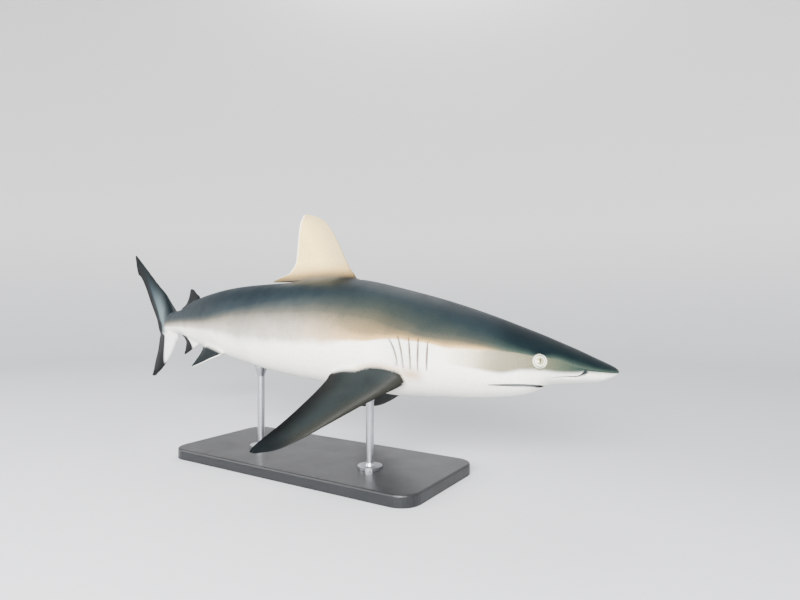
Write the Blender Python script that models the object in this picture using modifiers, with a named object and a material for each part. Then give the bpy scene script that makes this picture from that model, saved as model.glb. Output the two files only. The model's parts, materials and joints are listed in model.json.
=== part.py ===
"""A life-size grey reef shark, swimming with its tail swung to its left, over a plain display stand.

Lengths are metres, +Z is up, the shark's head points along +X and its right side faces -Y.
The origin is the middle of the underside of the stand's base.

The shark is first laid out straight: a place on it is a station (how far behind the snout tip), a
sideways distance (positive to its left) and a height over its axis, all as fractions of
TOTAL_LENGTH. A curved axis then carries every such place into the pose.
"""

import math

import bmesh
import bpy
import numpy as np

# Driving dimensions, metres.
TOTAL_LENGTH = 1.5
GAP = 0.0003
THINNEST_EDGE = 0.0008
SHARP_ANGLE = 40.0
TINY = 1e-9

# The pose: headings turn the body to its left and back, pitch lifts the snout, roll leans it.
ANCHOR_STATION = 0.37
ANCHOR_PLACE = (0.0, -0.03, 0.25)
POSE_STATIONS = (0.0, 0.2, 0.4, 0.6, 0.735, 1.0)
HEADINGS = (-22.8, -10.0, 2.8, 14.2, 20.3, 10.6)
PITCHES = (-4.9, -4.8, -3.1, 0.1, 3.2, 3.2)
ROLLS = (0.9, 1.2, 2.0, 3.4, 4.6, 4.6)
SPINE_STEPS = 600

# The body: station, height of the back, height of the belly, half width.
PROFILE = (
    (0.000, 0.0000, 0.0000, 0.0000),
    (0.008, 0.0060, -0.0068, 0.0140),
    (0.020, 0.0104, -0.0120, 0.0235),
    (0.050, 0.0213, -0.0168, 0.0360),
    (0.070, 0.0278, -0.0207, 0.0425),
    (0.078, 0.0305, -0.0272, 0.0450),
    (0.090, 0.0340, -0.0328, 0.0478),
    (0.130, 0.0454, -0.0418, 0.0550),
    (0.180, 0.0571, -0.0480, 0.0600),
    (0.240, 0.0673, -0.0540, 0.0630),
    (0.300, 0.0742, -0.0535, 0.0625),
    (0.400, 0.0643, -0.0511, 0.0560),
    (0.500, 0.0560, -0.0430, 0.0430),
    (0.620, 0.0385, -0.0274, 0.0250),
    (0.700, 0.0215, -0.0155, 0.0160),
    (0.760, 0.0219, -0.0172, 0.0125),
)
SNOUT_FLATNESS = 0.6
FLAT_SNOUT_ENDS = 0.12
WIDEST_LEVEL = 0.47

SNOUT_STARTS = 0.0002
HEAD_ENDS = 0.2285
TRUNK_ENDS = 0.56
PEDUNCLE_ENDS = 0.745
CUTTER_ENDS = 0.757
RINGS_PER_HEAD = 32
RINGS_PER_TRUNK = 20
RINGS_PER_TAIL = 12
SIDES = 32

# The mouth: a level cut under the snout, and a slope behind its corners down to the throat.
MOUTH_FRONT = 0.0715
MOUTH_CORNER = 0.127
MOUTH_LEVEL = -0.0218
THROAT = 0.166
THROAT_LEVEL = -0.055
JAW_ROOM_HALF_WIDTH = 0.075
JAW_ROOM_FLOOR = -0.080

# The eyes, each sunk so that only its opening shows.
EYE_STATION = 0.0792
EYE_LEVEL = 0.0059
EYE_OPENING_RADIUS = 0.0056
EYEBALL_RADIUS = 0.0125
NORMAL_STEP = 0.0001

# The gill slits: station of the foot, lean of the top towards the tail, foot level, top level.
GILL_SLITS = (
    (0.1829, 0.0009, -0.0155, 0.0150),
    (0.1917, 0.0019, -0.0165, 0.0180),
    (0.1990, 0.0045, -0.0168, 0.0180),
    (0.2064, 0.0085, -0.0165, 0.0180),
    (0.2123, 0.0112, -0.0145, 0.0145),
)
SLIT_WIDTH = 0.0016
SLIT_DEPTH = 0.0035
SLIT_STEPS = 5

# A fin on the midline: (height over the body, station) along its front edge and its rear edge.
# The first two rows of the front edge lie inside the body, where the fin is rooted.
FIRST_DORSAL = {
    "front": ((-0.012, 0.3020), (0.0, 0.2992), (0.0106, 0.3088), (0.0306, 0.3222), (0.0584, 0.3397),
              (0.0776, 0.3602), (0.0857, 0.3800)),
    "rear": ((-0.012, 0.3850), (0.0, 0.3890), (0.0025, 0.4370), (0.0128, 0.4059), (0.0279, 0.3955),
             (0.0541, 0.3946), (0.0745, 0.3925), (0.0857, 0.3840)),
    "rows": (-0.012, 0.0, 0.0025, 0.006, 0.0128, 0.0279, 0.042, 0.0584, 0.0720, 0.0800, 0.0840, 0.0857),
    "thickness": 0.0130,
}
SECOND_DORSAL = {
    "front": ((-0.010, 0.6250), (0.0, 0.6229), (0.0150, 0.6420), (0.0250, 0.6560), (0.0278, 0.6640)),
    "rear": ((-0.010, 0.6530), (0.0, 0.6590), (0.0022, 0.7060), (0.0068, 0.6850), (0.0168, 0.6715),
             (0.0278, 0.6670)),
    "rows": (-0.010, 0.0, 0.0022, 0.0045, 0.0085, 0.0150, 0.0210, 0.0255, 0.0278),
    "thickness": 0.0050,
}
ANAL = {
    "front": ((-0.010, 0.6220), (0.0, 0.6181), (0.0127, 0.6380), (0.0260, 0.6610), (0.0319, 0.6745)),
    "rear": ((-0.010, 0.6520), (0.0, 0.6580), (0.0025, 0.6945), (0.0070, 0.6800), (0.0127, 0.6720),
             (0.0220, 0.6735), (0.0319, 0.6780)),
    "rows": (-0.010, 0.0, 0.0025, 0.0048, 0.0085, 0.0140, 0.0210, 0.0270, 0.0305, 0.0319),
    "thickness": 0.0052,
}

# A paired fin: (distance out along the fin, distance back along its root) for both edges.
PECTORAL = {
    "front": ((-0.030, 0.0020), (-0.010, -0.0040), (0.0, 0.0000), (0.0181, 0.0161), (0.0356, 0.0365),
              (0.0607, 0.0642), (0.0837, 0.0908), (0.0970, 0.1120), (0.1028, 0.1330)),
    "rear": ((-0.030, 0.0400), (-0.0115, 0.0530), (-0.0085, 0.0700), (-0.0054, 0.0883), (0.0045, 0.0893),
             (0.0157, 0.0932), (0.0318, 0.1007), (0.0537, 0.1123), (0.0735, 0.1244), (0.0878, 0.1342),
             (0.0980, 0.1395), (0.1028, 0.1400)),
    "rows": (-0.030, -0.0115, -0.0085, -0.0054, 0.0, 0.0100, 0.0240, 0.0420, 0.0610, 0.0780, 0.0900,
             0.0975, 0.1010, 0.1028),
    "thickness": 0.0165,
}
PELVIC = {
    "front": ((-0.016, 0.0040), (0.0, 0.0000), (0.0150, 0.0210), (0.0260, 0.0380), (0.0310, 0.0460)),
    "rear": ((-0.016, 0.0300), (-0.0085, 0.0360), (-0.0065, 0.0650), (0.0020, 0.0560), (0.0120, 0.0525),
             (0.0230, 0.0510), (0.0310, 0.0500)),
    "rows": (-0.016, -0.0085, -0.0065, -0.0030, 0.0020, 0.0080, 0.0150, 0.0220, 0.0275, 0.0310),
    "thickness": 0.0070,
}
PAIRED_FIN_HEADS_BEHIND = 0.02
PECTORAL_ROOT = (0.2093, -0.0290)
PECTORAL_INCIDENCE = 5.0
PECTORAL_DROOP_RIGHT = 46.0
PECTORAL_DROOP_LEFT = 38.5
PELVIC_ROOT = (0.4930, -0.0330)
PELVIC_INCIDENCE = 0.0
PELVIC_DROOP = 50.0

# The tail fin: (station, height) along the front edge of each lobe and the rear edge of both.
UPPER_LOBE_FRONT = ((0.745, 0.0220), (0.770, 0.0365), (0.801, 0.0545), (0.8565, 0.0793), (0.9217, 0.1140),
                    (0.9700, 0.1420), (0.9790, 0.1468))
UPPER_LOBE_REAR = ((0.745, -0.0150), (0.8170, -0.0150), (0.8441, 0.0107), (0.8856, 0.0451),
                   (0.9205, 0.0784), (0.9440, 0.0975), (0.9500, 0.1010), (0.9570, 0.1035), (0.9680, 0.1180),
                   (0.9790, 0.1440))
UPPER_LOBE_COLUMNS = (0.745, 0.758, 0.773, 0.790, 0.805, 0.817, 0.830, 0.850, 0.872, 0.895, 0.918,
                      0.937, 0.950, 0.957, 0.966, 0.974, 0.979)
LOWER_LOBE = {
    "front": ((0.0, 0.7180), (0.0202, 0.7345), (0.0417, 0.7610), (0.0589, 0.7920), (0.0766, 0.8390)),
    "rear": ((0.0, 0.8175), (0.0293, 0.8259), (0.0556, 0.8395), (0.0766, 0.8450)),
    "rows": (0.0, 0.008, 0.018, 0.030, 0.0417, 0.053, 0.064, 0.072, 0.0766),
    "thickness": 0.0175,
}
LOBES_PART_LEVEL = -0.0150
LOBE_ROOT_HALF_THICKNESS = 0.0125
LOBE_TIP_HALF_THICKNESS = 0.0010
LOBE_THINS_OVER = 0.075
PEDUNCLE_SHAPE_FADES_OVER = 0.05

# A fin's section: its half thickness by the square root and the powers of the chord fraction.
FIN_SECTION_POINTS = 7
FOIL_ROOT_TERM = 2.969
FOIL_POWER_TERMS = (-1.26, -3.516, 2.843, -1.015)
FIN_THINS_TO_TIP_BY = 0.88
FULL_THICKNESS_CHORD = 1 / 1.6

# The stand.
BASE_SIZE = (0.56, 0.24, 0.020)
BASE_CORNER_RADIUS = 0.035
BASE_EDGE_RADIUS = 0.003
ROD_STATIONS = (0.275, 0.455)
ROD_RADIUS = 0.007
ROD_FOOT_RADIUS = 0.022
ROD_FOOT_HEIGHT = 0.005
ROD_FOOT_NECK_RADIUS = 0.0091
ROD_CUP_RADIUS = 0.013
ROD_CUP_LENGTH = 0.022
ROD_CUP_RIM_DROP = 0.004
ROD_TOP_OVER_BELLY = 0.010
ROD_STEPS = 24
ROD_MERGE = 0.0001

RIGHT, LEFT = -1.0, 1.0


def smooth_line(knots, values):
    """A curve through the knots that never overshoots, as a function of one number or of many."""
    x = np.array(knots, float)
    y = np.array(values, float)
    step = np.diff(x)
    slope = np.diff(y) / step
    before, after = 2 * step[1:] + step[:-1], step[1:] + 2 * step[:-1]
    same_way = slope[:-1] * slope[1:] > 0
    steep = np.where(same_way, slope[:-1], 1.0), np.where(same_way, slope[1:], 1.0)
    inner = np.where(same_way, (before + after) / (before / steep[0] + after / steep[1]), 0.0)
    tangent = np.concatenate([[slope[0]], inner, [slope[-1]]])

    def line(at):
        at = np.clip(np.asarray(at, float), x[0], x[-1])
        cell = np.clip(np.searchsorted(x, at, side="right") - 1, 0, len(step) - 1)
        t = (at - x[cell]) / step[cell]
        return (
            y[cell] * (1 + 2 * t) * (1 - t) ** 2
            + y[cell + 1] * t * t * (3 - 2 * t)
            + tangent[cell] * step[cell] * t * (1 - t) ** 2
            + tangent[cell + 1] * step[cell] * t * t * (t - 1)
        )

    return line


def cross_sections():
    """Heights of back and belly and half width, each smooth in the square root of the station."""
    station, back, belly, width = np.array(PROFILE).T
    root = np.sqrt(station)
    lines = [smooth_line(root, side) for side in (back, belly, width)]
    return [lambda s, line=line: line(np.sqrt(s)) for line in lines]


BACK, BELLY, WIDTH = cross_sections()


def build_spine():
    """Places and directions along the axis, worked outwards from the anchor."""
    station = np.linspace(0.0, 1.0, SPINE_STEPS + 1)
    heading, pitch, roll = (
        np.radians(smooth_line(POSE_STATIONS, angles)(station)) for angles in (HEADINGS, PITCHES, ROLLS)
    )
    ahead = np.stack(
        [np.cos(heading) * np.cos(pitch), -np.sin(heading) * np.cos(pitch), np.sin(pitch)], axis=1
    )
    level_left = np.stack([np.sin(heading), np.cos(heading), np.zeros_like(heading)], axis=1)
    plumb_up = np.cross(ahead, level_left)
    up = plumb_up * np.cos(roll)[:, None] + level_left * np.sin(roll)[:, None]
    left = np.cross(up, ahead)
    middles = (ahead[1:] + ahead[:-1]) / 2 * (TOTAL_LENGTH / SPINE_STEPS)
    place = np.vstack([np.zeros(3), -np.cumsum(middles, axis=0)])
    anchor = [np.interp(ANCHOR_STATION, station, column) for column in place.T]
    return station, place - anchor + np.array(ANCHOR_PLACE), ahead, left, up


SPINE = build_spine()


def along_spine(s):
    """The axis point, and the directions ahead, left and up, at each station."""
    station, *vectors = SPINE
    s = np.atleast_1d(np.asarray(s, float))
    return [np.stack([np.interp(s, station, column) for column in field.T], axis=1) for field in vectors]


def place(s, y, z):
    """World places of straight-shark places."""
    point, _, left, up = along_spine(s)
    y, z = np.broadcast_arrays(np.atleast_1d(y), np.atleast_1d(z))
    return point + TOTAL_LENGTH * (left * y[:, None] + up * z[:, None])


def flank(s, z, side):
    """How far to one side the body's surface is, at a station and a height."""
    low, high = float(BELLY(s)), float(BACK(s))
    widest = low + WIDEST_LEVEL * (high - low)
    reach = (high - widest) if z > widest else (widest - low)
    return side * float(WIDTH(s)) * math.sqrt(max(0.0, 1 - ((z - widest) / reach) ** 2))


def body_ring(s, grow, sides):
    """One section of the body, as sideways distances and heights, anticlockwise from its left."""
    turn = np.arange(sides) * 2 * math.pi / sides
    low, high = float(BELLY(s)) - grow, float(BACK(s)) + grow
    widest = low + WIDEST_LEVEL * (high - low)
    flat = SNOUT_FLATNESS * max(0.0, 1 - s / FLAT_SNOUT_ENDS)
    rise = np.sin(turn)
    under = -(np.abs(rise) ** (1 / (1 + flat)))
    height = np.where(rise >= 0, widest + (high - widest) * rise, widest + (widest - low) * under)
    return (float(WIDTH(s)) + grow) * np.cos(turn), height


def new_object(name, points, faces, collection, material=None):
    """A mesh object with its faces turned outwards."""
    mesh = bpy.data.meshes.new(name)
    mesh.from_pydata([tuple(point) for point in points], [], faces)
    bm = bmesh.new()
    bm.from_mesh(mesh)
    bmesh.ops.recalc_face_normals(bm, faces=bm.faces)
    if collection.hide_render:
        bmesh.ops.triangulate(bm, faces=bm.faces)
    bm.to_mesh(mesh)
    bm.free()
    mesh.shade_smooth()
    mesh.set_sharp_from_angle(angle=math.radians(SHARP_ANGLE))
    obj = bpy.data.objects.new(name, mesh)
    collection.objects.link(obj)
    if material:
        mesh.materials.append(material)
    if collection.hide_render:
        obj.hide_render = True
        obj.display_type = "WIRE"
    return obj


def loft(name, rings, collection, material=None, pointed_start=False):
    """A closed skin over rings of world points, each with as many points, and flat or pointed ends."""
    count = len(rings[0])
    points = np.vstack(rings)
    faces = []
    for ring in range(len(rings) - 1):
        first, second = ring * count, (ring + 1) * count
        faces += [
            (first + k, first + (k + 1) % count, second + (k + 1) % count, second + k) for k in range(count)
        ]
    last = (len(rings) - 1) * count
    faces.append(tuple(range(last, last + count)))
    if pointed_start:
        tip = len(points)
        points = np.vstack([points, rings[0].mean(axis=0)])
        faces += [(k, (k + 1) % count, tip) for k in range(count)]
    else:
        faces.append(tuple(range(count)))
    return new_object(name, points, faces, collection, material)


def body_rings(start, end, rings, grow=0.0):
    """Sections of the body between two stations, closer together towards the snout."""
    roots = np.linspace(math.sqrt(start), math.sqrt(end), rings)
    stations = roots**2
    found = []
    for s in stations:
        y, z = body_ring(s, grow, SIDES)
        found.append(place(np.full(SIDES, s), y, z))
    return found


def body_cutter(collection):
    """The whole body, larger by the gap that its neighbours keep."""
    count = RINGS_PER_HEAD + RINGS_PER_TRUNK + RINGS_PER_TAIL
    rings = body_rings(SNOUT_STARTS / 2, CUTTER_ENDS, count, GAP / TOTAL_LENGTH)
    return loft("body_cutter", rings, collection, pointed_start=True)


def cut(obj, other, operation="DIFFERENCE"):
    """A Boolean on an object: what is cut away from it, or what it keeps."""
    modifier = obj.modifiers.new(f"{operation.lower()}_{other.name}", "BOOLEAN")
    modifier.operation = operation
    modifier.solver = "EXACT"
    modifier.object = other


def mouth_wedge(name, grow, collection):
    """The room of the lower jaw: level over the mouth, sloping to the throat behind it."""
    profile = (
        (MOUTH_FRONT - grow, MOUTH_LEVEL + grow),
        ((MOUTH_FRONT + MOUTH_CORNER) / 2, MOUTH_LEVEL + grow),
        (MOUTH_CORNER + grow, MOUTH_LEVEL + grow),
        ((MOUTH_CORNER + THROAT) / 2 + grow, (MOUTH_LEVEL + THROAT_LEVEL) / 2 + grow),
        (THROAT + grow, THROAT_LEVEL + grow),
    )
    wide, floor = JAW_ROOM_HALF_WIDTH, JAW_ROOM_FLOOR
    rings = [
        place([s] * 4, [wide, wide, -wide, -wide], [floor, roof, roof, floor]) for s, roof in profile
    ]
    return loft(name, rings, collection)


def eye_centre(side):
    """The middle of an eyeball, sunk straight into the skin."""

    def on_skin(s, z):
        return place(s, flank(s, z, side), z)[0]

    here = on_skin(EYE_STATION, EYE_LEVEL)
    behind = on_skin(EYE_STATION + NORMAL_STEP, EYE_LEVEL) - here
    over = on_skin(EYE_STATION, EYE_LEVEL + NORMAL_STEP) - here
    inward = -side * np.cross(behind, over)
    inward /= np.linalg.norm(inward)
    depth = math.sqrt(EYEBALL_RADIUS**2 - EYE_OPENING_RADIUS**2)
    return here + inward * depth * TOTAL_LENGTH


def ball(name, centre, radius, collection, material=None):
    """A sphere whose pole looks sideways, as a lens does."""
    bm = bmesh.new()
    bmesh.ops.create_uvsphere(bm, u_segments=16, v_segments=10, radius=radius)
    mesh = bpy.data.meshes.new(name)
    bm.to_mesh(mesh)
    bm.free()
    mesh.shade_smooth()
    obj = bpy.data.objects.new(name, mesh)
    obj.location = centre
    obj.rotation_euler = (math.radians(90), 0, 0)
    collection.objects.link(obj)
    if material:
        mesh.materials.append(material)
    if collection.hide_render:
        obj.hide_render = True
        obj.display_type = "WIRE"
    return obj


def gill_blade(name, slit, side, collection):
    """A thin curved blade that stands in the flank along one slit."""
    foot, lean, low, high = slit
    half = SLIT_WIDTH / TOTAL_LENGTH / 2
    depth = SLIT_DEPTH / TOTAL_LENGTH
    rings = []
    for t in np.linspace(0, 1, SLIT_STEPS):
        z = low + (high - low) * t
        s = foot + lean * t * t
        y = flank(s, z, side)
        inner, outer = y - side * depth, y + side * depth
        rings.append(place([s - half, s + half, s + half, s - half], [inner, inner, outer, outer], [z] * 4))
    return loft(name, rings, collection)


def section_profile():
    """Chord fractions and half thicknesses of a fin's section, from rear edge over the front and back."""
    turn = np.linspace(0, math.pi, FIN_SECTION_POINTS)
    chord = (1 + np.cos(turn)) / 2
    bulge = FOIL_ROOT_TERM * np.sqrt(chord)
    bulge = bulge + sum(term * chord**power for power, term in enumerate(FOIL_POWER_TERMS, 1))
    upper = np.stack([chord, bulge], axis=1)
    lower = np.stack([chord, -bulge], axis=1)[::-1][1:]
    return np.vstack([upper, lower])


def fin_rings(plan, to_world):
    """Sections of a fin, row by row from its root out to its tip."""
    front = smooth_line(*zip(*plan["front"]))
    rear = smooth_line(*zip(*plan["rear"]))
    rows = plan["rows"]
    root_chord = float(rear(0.0) - front(0.0))
    edge = THINNEST_EDGE / TOTAL_LENGTH / 2
    profile = section_profile()
    rings = []
    for row in rows:
        start, end = float(front(row)), float(rear(row))
        outwards = max(0.0, row) / rows[-1]
        full = min(1.0, (end - start) / root_chord / FULL_THICKNESS_CHORD)
        half = plan["thickness"] / 2 * (1 - FIN_THINS_TO_TIP_BY * outwards) * full
        bulge = profile[:, 1]
        thick = np.sign(bulge + TINY) * np.maximum(np.abs(bulge) * half, edge)
        thick[FIN_SECTION_POINTS - 1] = 0.0
        chord = start + (end - start) * profile[:, 0]
        rings.append(to_world(chord, np.full_like(chord, row), thick))
    return rings


def midline_fin(name, plan, line, direction, collection, material):
    """A fin that stands on the body's midline, over its back or under its belly."""

    def to_world(chord, row, thick):
        return place(chord, thick, line(chord) + direction * row)

    return loft(name, fin_rings(plan, to_world), collection, material)


def paired_fin(name, plan, root, droop, incidence, side, collection, material):
    """A flat fin that leaves the flank: droop turns it down, incidence lowers its rear edge."""
    s, z = root
    origin = place(s, flank(s, z, side), z)[0]
    _, ahead, left, up = (field[0] for field in along_spine(s + PAIRED_FIN_HEADS_BEHIND))
    tilt, fall = math.radians(incidence), math.radians(droop)
    back = -math.cos(tilt) * ahead - math.sin(tilt) * up
    fin_up = math.cos(tilt) * up - math.sin(tilt) * ahead
    out = math.cos(fall) * side * left - math.sin(fall) * fin_up
    normal = np.cross(back, out) * side

    def to_world(chord, row, thick):
        flat = np.outer(chord, back) + np.outer(row, out) + np.outer(thick, normal)
        return origin + TOTAL_LENGTH * flat

    return loft(name, fin_rings(plan, to_world), collection, material)


def upper_lobe(collection, material):
    """The upper lobe of the tail fin, thick along its front edge, where the backbone runs on."""
    front = smooth_line(*zip(*UPPER_LOBE_FRONT))
    rear = smooth_line(*zip(*UPPER_LOBE_REAR))
    edge = THINNEST_EDGE / TOTAL_LENGTH / 2
    across = section_profile()
    start = UPPER_LOBE_COLUMNS[0]
    rings = []
    for s in UPPER_LOBE_COLUMNS:
        top, bottom = float(front(s)), float(rear(s))
        fade = math.exp(-(s - start) / LOBE_THINS_OVER)
        half = LOBE_TIP_HALF_THICKNESS + (LOBE_ROOT_HALF_THICKNESS - LOBE_TIP_HALF_THICKNESS) * fade
        round_part = max(0.0, 1 - (s - start) / PEDUNCLE_SHAPE_FADES_OVER)
        face = np.sign(across[:, 1] + TINY)
        oval = 2 * np.sqrt(np.maximum(across[:, 0] * (1 - across[:, 0]), TINY)) * face
        shape = round_part * oval + (1 - round_part) * across[:, 1]
        thick = face * np.maximum(np.abs(shape) * half, edge)
        thick[FIN_SECTION_POINTS - 1] = 0.0
        height = top + (bottom - top) * across[:, 0]
        behind = s + GAP / TOTAL_LENGTH if s == start else s
        rings.append(place(np.full_like(height, behind), thick, height))
    return loft("caudal_fin_upper_lobe", rings, collection, material)


def lower_lobe(collection, material):
    """The lower lobe of the tail fin, hanging from the level where the lobes part."""

    def to_world(chord, row, thick):
        return place(chord, thick, LOBES_PART_LEVEL - GAP / TOTAL_LENGTH - row)

    return loft("caudal_fin_lower_lobe", fin_rings(LOWER_LOBE, to_world), collection, material)


def stand_base(collection, material):
    """A flat plate with round corners and a softened upper edge."""
    bm = bmesh.new()
    bmesh.ops.create_cube(bm, size=1.0)
    bmesh.ops.scale(bm, vec=BASE_SIZE, verts=bm.verts)
    bmesh.ops.translate(bm, vec=(0, 0, BASE_SIZE[2] / 2), verts=bm.verts)
    upright = [edge for edge in bm.edges if abs(edge.verts[0].co.z - edge.verts[1].co.z) > 0.001]
    bmesh.ops.bevel(bm, geom=upright, offset=BASE_CORNER_RADIUS, segments=8, profile=0.5, affect="EDGES")
    rim = [edge for edge in bm.edges if all(vert.co.z > BASE_SIZE[2] - 0.001 for vert in edge.verts)]
    bmesh.ops.bevel(bm, geom=rim, offset=BASE_EDGE_RADIUS, segments=2, profile=0.5, affect="EDGES")
    mesh = bpy.data.meshes.new("stand_base")
    bm.to_mesh(mesh)
    bm.free()
    mesh.materials.append(material)
    mesh.shade_smooth()
    mesh.set_sharp_from_angle(angle=math.radians(SHARP_ANGLE))
    collection.objects.link(bpy.data.objects.new("stand_base", mesh))


def stand_rod(name, s, body, collection, material):
    """A turned rod with a flat foot, widening to a cup whose mouth follows the belly."""
    centre = place(s, 0.0, 0.0)[0]
    foot = BASE_SIZE[2] + GAP
    belly = place(s, 0.0, float(BELLY(s)))[0][2]
    profile = (
        (0.0, belly + ROD_TOP_OVER_BELLY),
        (ROD_CUP_RADIUS, belly + ROD_TOP_OVER_BELLY),
        (ROD_CUP_RADIUS, belly - ROD_CUP_RIM_DROP),
        (ROD_RADIUS, belly - ROD_CUP_LENGTH),
        (ROD_RADIUS, foot + 2 * ROD_FOOT_HEIGHT),
        (ROD_FOOT_NECK_RADIUS, foot + ROD_FOOT_HEIGHT),
        (ROD_FOOT_RADIUS, foot + ROD_FOOT_HEIGHT),
        (ROD_FOOT_RADIUS, foot),
        (0.0, foot),
    )
    mesh = bpy.data.meshes.new(name)
    mesh.from_pydata([(r, 0.0, z) for r, z in profile], [(k, k + 1) for k in range(len(profile) - 1)], [])
    mesh.materials.append(material)
    obj = bpy.data.objects.new(name, mesh)
    obj.location = (centre[0], centre[1], 0.0)
    collection.objects.link(obj)
    turn = obj.modifiers.new("turn", "SCREW")
    turn.steps = turn.render_steps = ROD_STEPS
    turn.use_merge_vertices = True
    turn.merge_threshold = ROD_MERGE
    turn.use_smooth_shade = False
    cut(obj, body)


def material(name, colour, roughness, metallic=0.0):
    """A plain material."""
    made = bpy.data.materials.new(name)
    made.use_nodes = True
    shader = made.node_tree.nodes["Principled BSDF"]
    shader.inputs["Base Color"].default_value = (*colour, 1.0)
    shader.inputs["Roughness"].default_value = roughness
    shader.inputs["Metallic"].default_value = metallic
    return made


def clear_scene():
    """Removes whatever the scene starts with."""
    for obj in list(bpy.data.objects):
        bpy.data.objects.remove(obj, do_unlink=True)


def new_collection(name, hidden=False):
    """A collection of the scene, left out of renders if it holds cutters."""
    collection = bpy.data.collections.new(name)
    bpy.context.scene.collection.children.link(collection)
    collection.hide_render = hidden
    return collection


def main():
    """Builds the shark, then its stand."""
    clear_scene()
    shark = new_collection("grey_reef_shark")
    cutters = new_collection("cutters", hidden=True)

    flank_skin = material("skin_back_and_flank", (0.22, 0.23, 0.21), 0.45)
    jaw_skin = material("skin_underside", (0.74, 0.73, 0.69), 0.45)
    dorsal_skin = material("skin_first_dorsal", (0.55, 0.50, 0.42), 0.5)
    fin_skin = material("skin_fins", (0.10, 0.11, 0.11), 0.5)
    tail_skin = material("skin_tail_fin", (0.07, 0.08, 0.085), 0.5)
    eye_finish = material("eye", (0.62, 0.60, 0.50), 0.08)
    base_finish = material("stand_base_finish", (0.09, 0.09, 0.095), 0.5)
    rod_finish = material("stand_rod_finish", (0.60, 0.60, 0.61), 0.3, 1.0)

    body = body_cutter(cutters)
    spread = GAP / TOTAL_LENGTH
    head_rings = body_rings(SNOUT_STARTS, HEAD_ENDS, RINGS_PER_HEAD)
    head = loft("head", head_rings, shark, flank_skin, pointed_start=True)
    jaw = loft("lower_jaw", head_rings, shark, jaw_skin, pointed_start=True)
    cut(jaw, mouth_wedge("jaw_room", 0.0, cutters), "INTERSECT")
    cut(head, mouth_wedge("jaw_clearance", spread, cutters))
    loft("trunk", body_rings(HEAD_ENDS + spread, TRUNK_ENDS, RINGS_PER_TRUNK), shark, flank_skin)
    loft("tail", body_rings(TRUNK_ENDS + spread, PEDUNCLE_ENDS, RINGS_PER_TAIL), shark, flank_skin)

    for side, name in ((RIGHT, "right"), (LEFT, "left")):
        centre = eye_centre(side)
        ball(f"eye_{name}", centre, EYEBALL_RADIUS * TOTAL_LENGTH, shark, eye_finish)
        cut(head, ball(f"eye_socket_{name}", centre, EYEBALL_RADIUS * TOTAL_LENGTH + GAP, cutters))
        for number, slit in enumerate(GILL_SLITS, 1):
            cut(head, gill_blade(f"gill_blade_{name}_{number}", slit, side, cutters))

    fins = [
        midline_fin("first_dorsal_fin", FIRST_DORSAL, BACK, 1.0, shark, dorsal_skin),
        midline_fin("second_dorsal_fin", SECOND_DORSAL, BACK, 1.0, shark, fin_skin),
        midline_fin("anal_fin", ANAL, BELLY, -1.0, shark, fin_skin),
        lower_lobe(shark, tail_skin),
    ]
    for side, name, droop in ((RIGHT, "right", PECTORAL_DROOP_RIGHT), (LEFT, "left", PECTORAL_DROOP_LEFT)):
        fins.append(
            paired_fin(f"pectoral_fin_{name}", PECTORAL, PECTORAL_ROOT, droop, PECTORAL_INCIDENCE, side,
                       shark, fin_skin)
        )
        fins.append(
            paired_fin(f"pelvic_fin_{name}", PELVIC, PELVIC_ROOT, PELVIC_DROOP, PELVIC_INCIDENCE, side,
                       shark, fin_skin)
        )
    for fin in fins:
        cut(fin, body)
    upper_lobe(shark, tail_skin)

    stand_base(shark, base_finish)
    for name, s in zip(("stand_rod_front", "stand_rod_rear"), ROD_STATIONS):
        stand_rod(name, s, body, shark, rod_finish)


main()
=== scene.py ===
"""The looks of a life-size grey reef shark model on its display stand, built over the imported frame.

Lengths are metres unless a name says that they are shares of the shark's total length. A place on
the shark is first given as if it lay straight: a station (how far behind the snout tip), a sideways
distance (positive to its left) and a level over its axis. The swimming pose then bends it.
"""

import json
import logging
import math
from dataclasses import dataclass, field
from enum import Enum
from typing import Callable, Iterator, Sequence

import bpy
import numpy as np
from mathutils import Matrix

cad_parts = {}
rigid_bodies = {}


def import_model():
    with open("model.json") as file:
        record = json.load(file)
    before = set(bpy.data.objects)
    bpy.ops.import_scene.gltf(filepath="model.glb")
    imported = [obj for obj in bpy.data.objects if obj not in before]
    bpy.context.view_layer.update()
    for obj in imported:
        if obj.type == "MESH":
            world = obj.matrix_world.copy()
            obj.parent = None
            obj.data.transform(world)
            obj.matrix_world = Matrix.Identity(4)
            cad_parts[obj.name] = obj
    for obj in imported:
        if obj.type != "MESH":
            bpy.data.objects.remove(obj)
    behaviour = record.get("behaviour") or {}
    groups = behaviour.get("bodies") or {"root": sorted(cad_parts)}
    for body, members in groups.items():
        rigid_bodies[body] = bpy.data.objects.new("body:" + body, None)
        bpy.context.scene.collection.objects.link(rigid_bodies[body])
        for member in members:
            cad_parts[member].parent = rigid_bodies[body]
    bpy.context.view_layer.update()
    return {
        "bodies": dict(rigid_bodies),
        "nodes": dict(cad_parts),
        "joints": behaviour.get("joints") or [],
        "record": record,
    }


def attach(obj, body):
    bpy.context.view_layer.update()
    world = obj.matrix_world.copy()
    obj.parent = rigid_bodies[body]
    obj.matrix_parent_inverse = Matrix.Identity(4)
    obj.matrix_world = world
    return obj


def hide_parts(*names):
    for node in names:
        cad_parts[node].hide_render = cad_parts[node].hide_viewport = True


log = logging.getLogger("reef_shark")

Array = np.ndarray
Piece = bpy.types.Object
Socket = bpy.types.NodeSocket
Tint = tuple[int, int, int]
Ramp = tuple[tuple[float, Tint], ...]
Line = Callable[[Array | float], Array]
Knots = tuple[tuple[float, float], ...]


class Side(Enum):
    """The two sides of the shark, as the sign of a sideways distance."""

    RIGHT = -1.0
    LEFT = 1.0


class Joining(Enum):
    """The two ways in which pieces are made one, by their names in Blender."""

    GROWN = "UNION"
    CUT = "DIFFERENCE"


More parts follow.
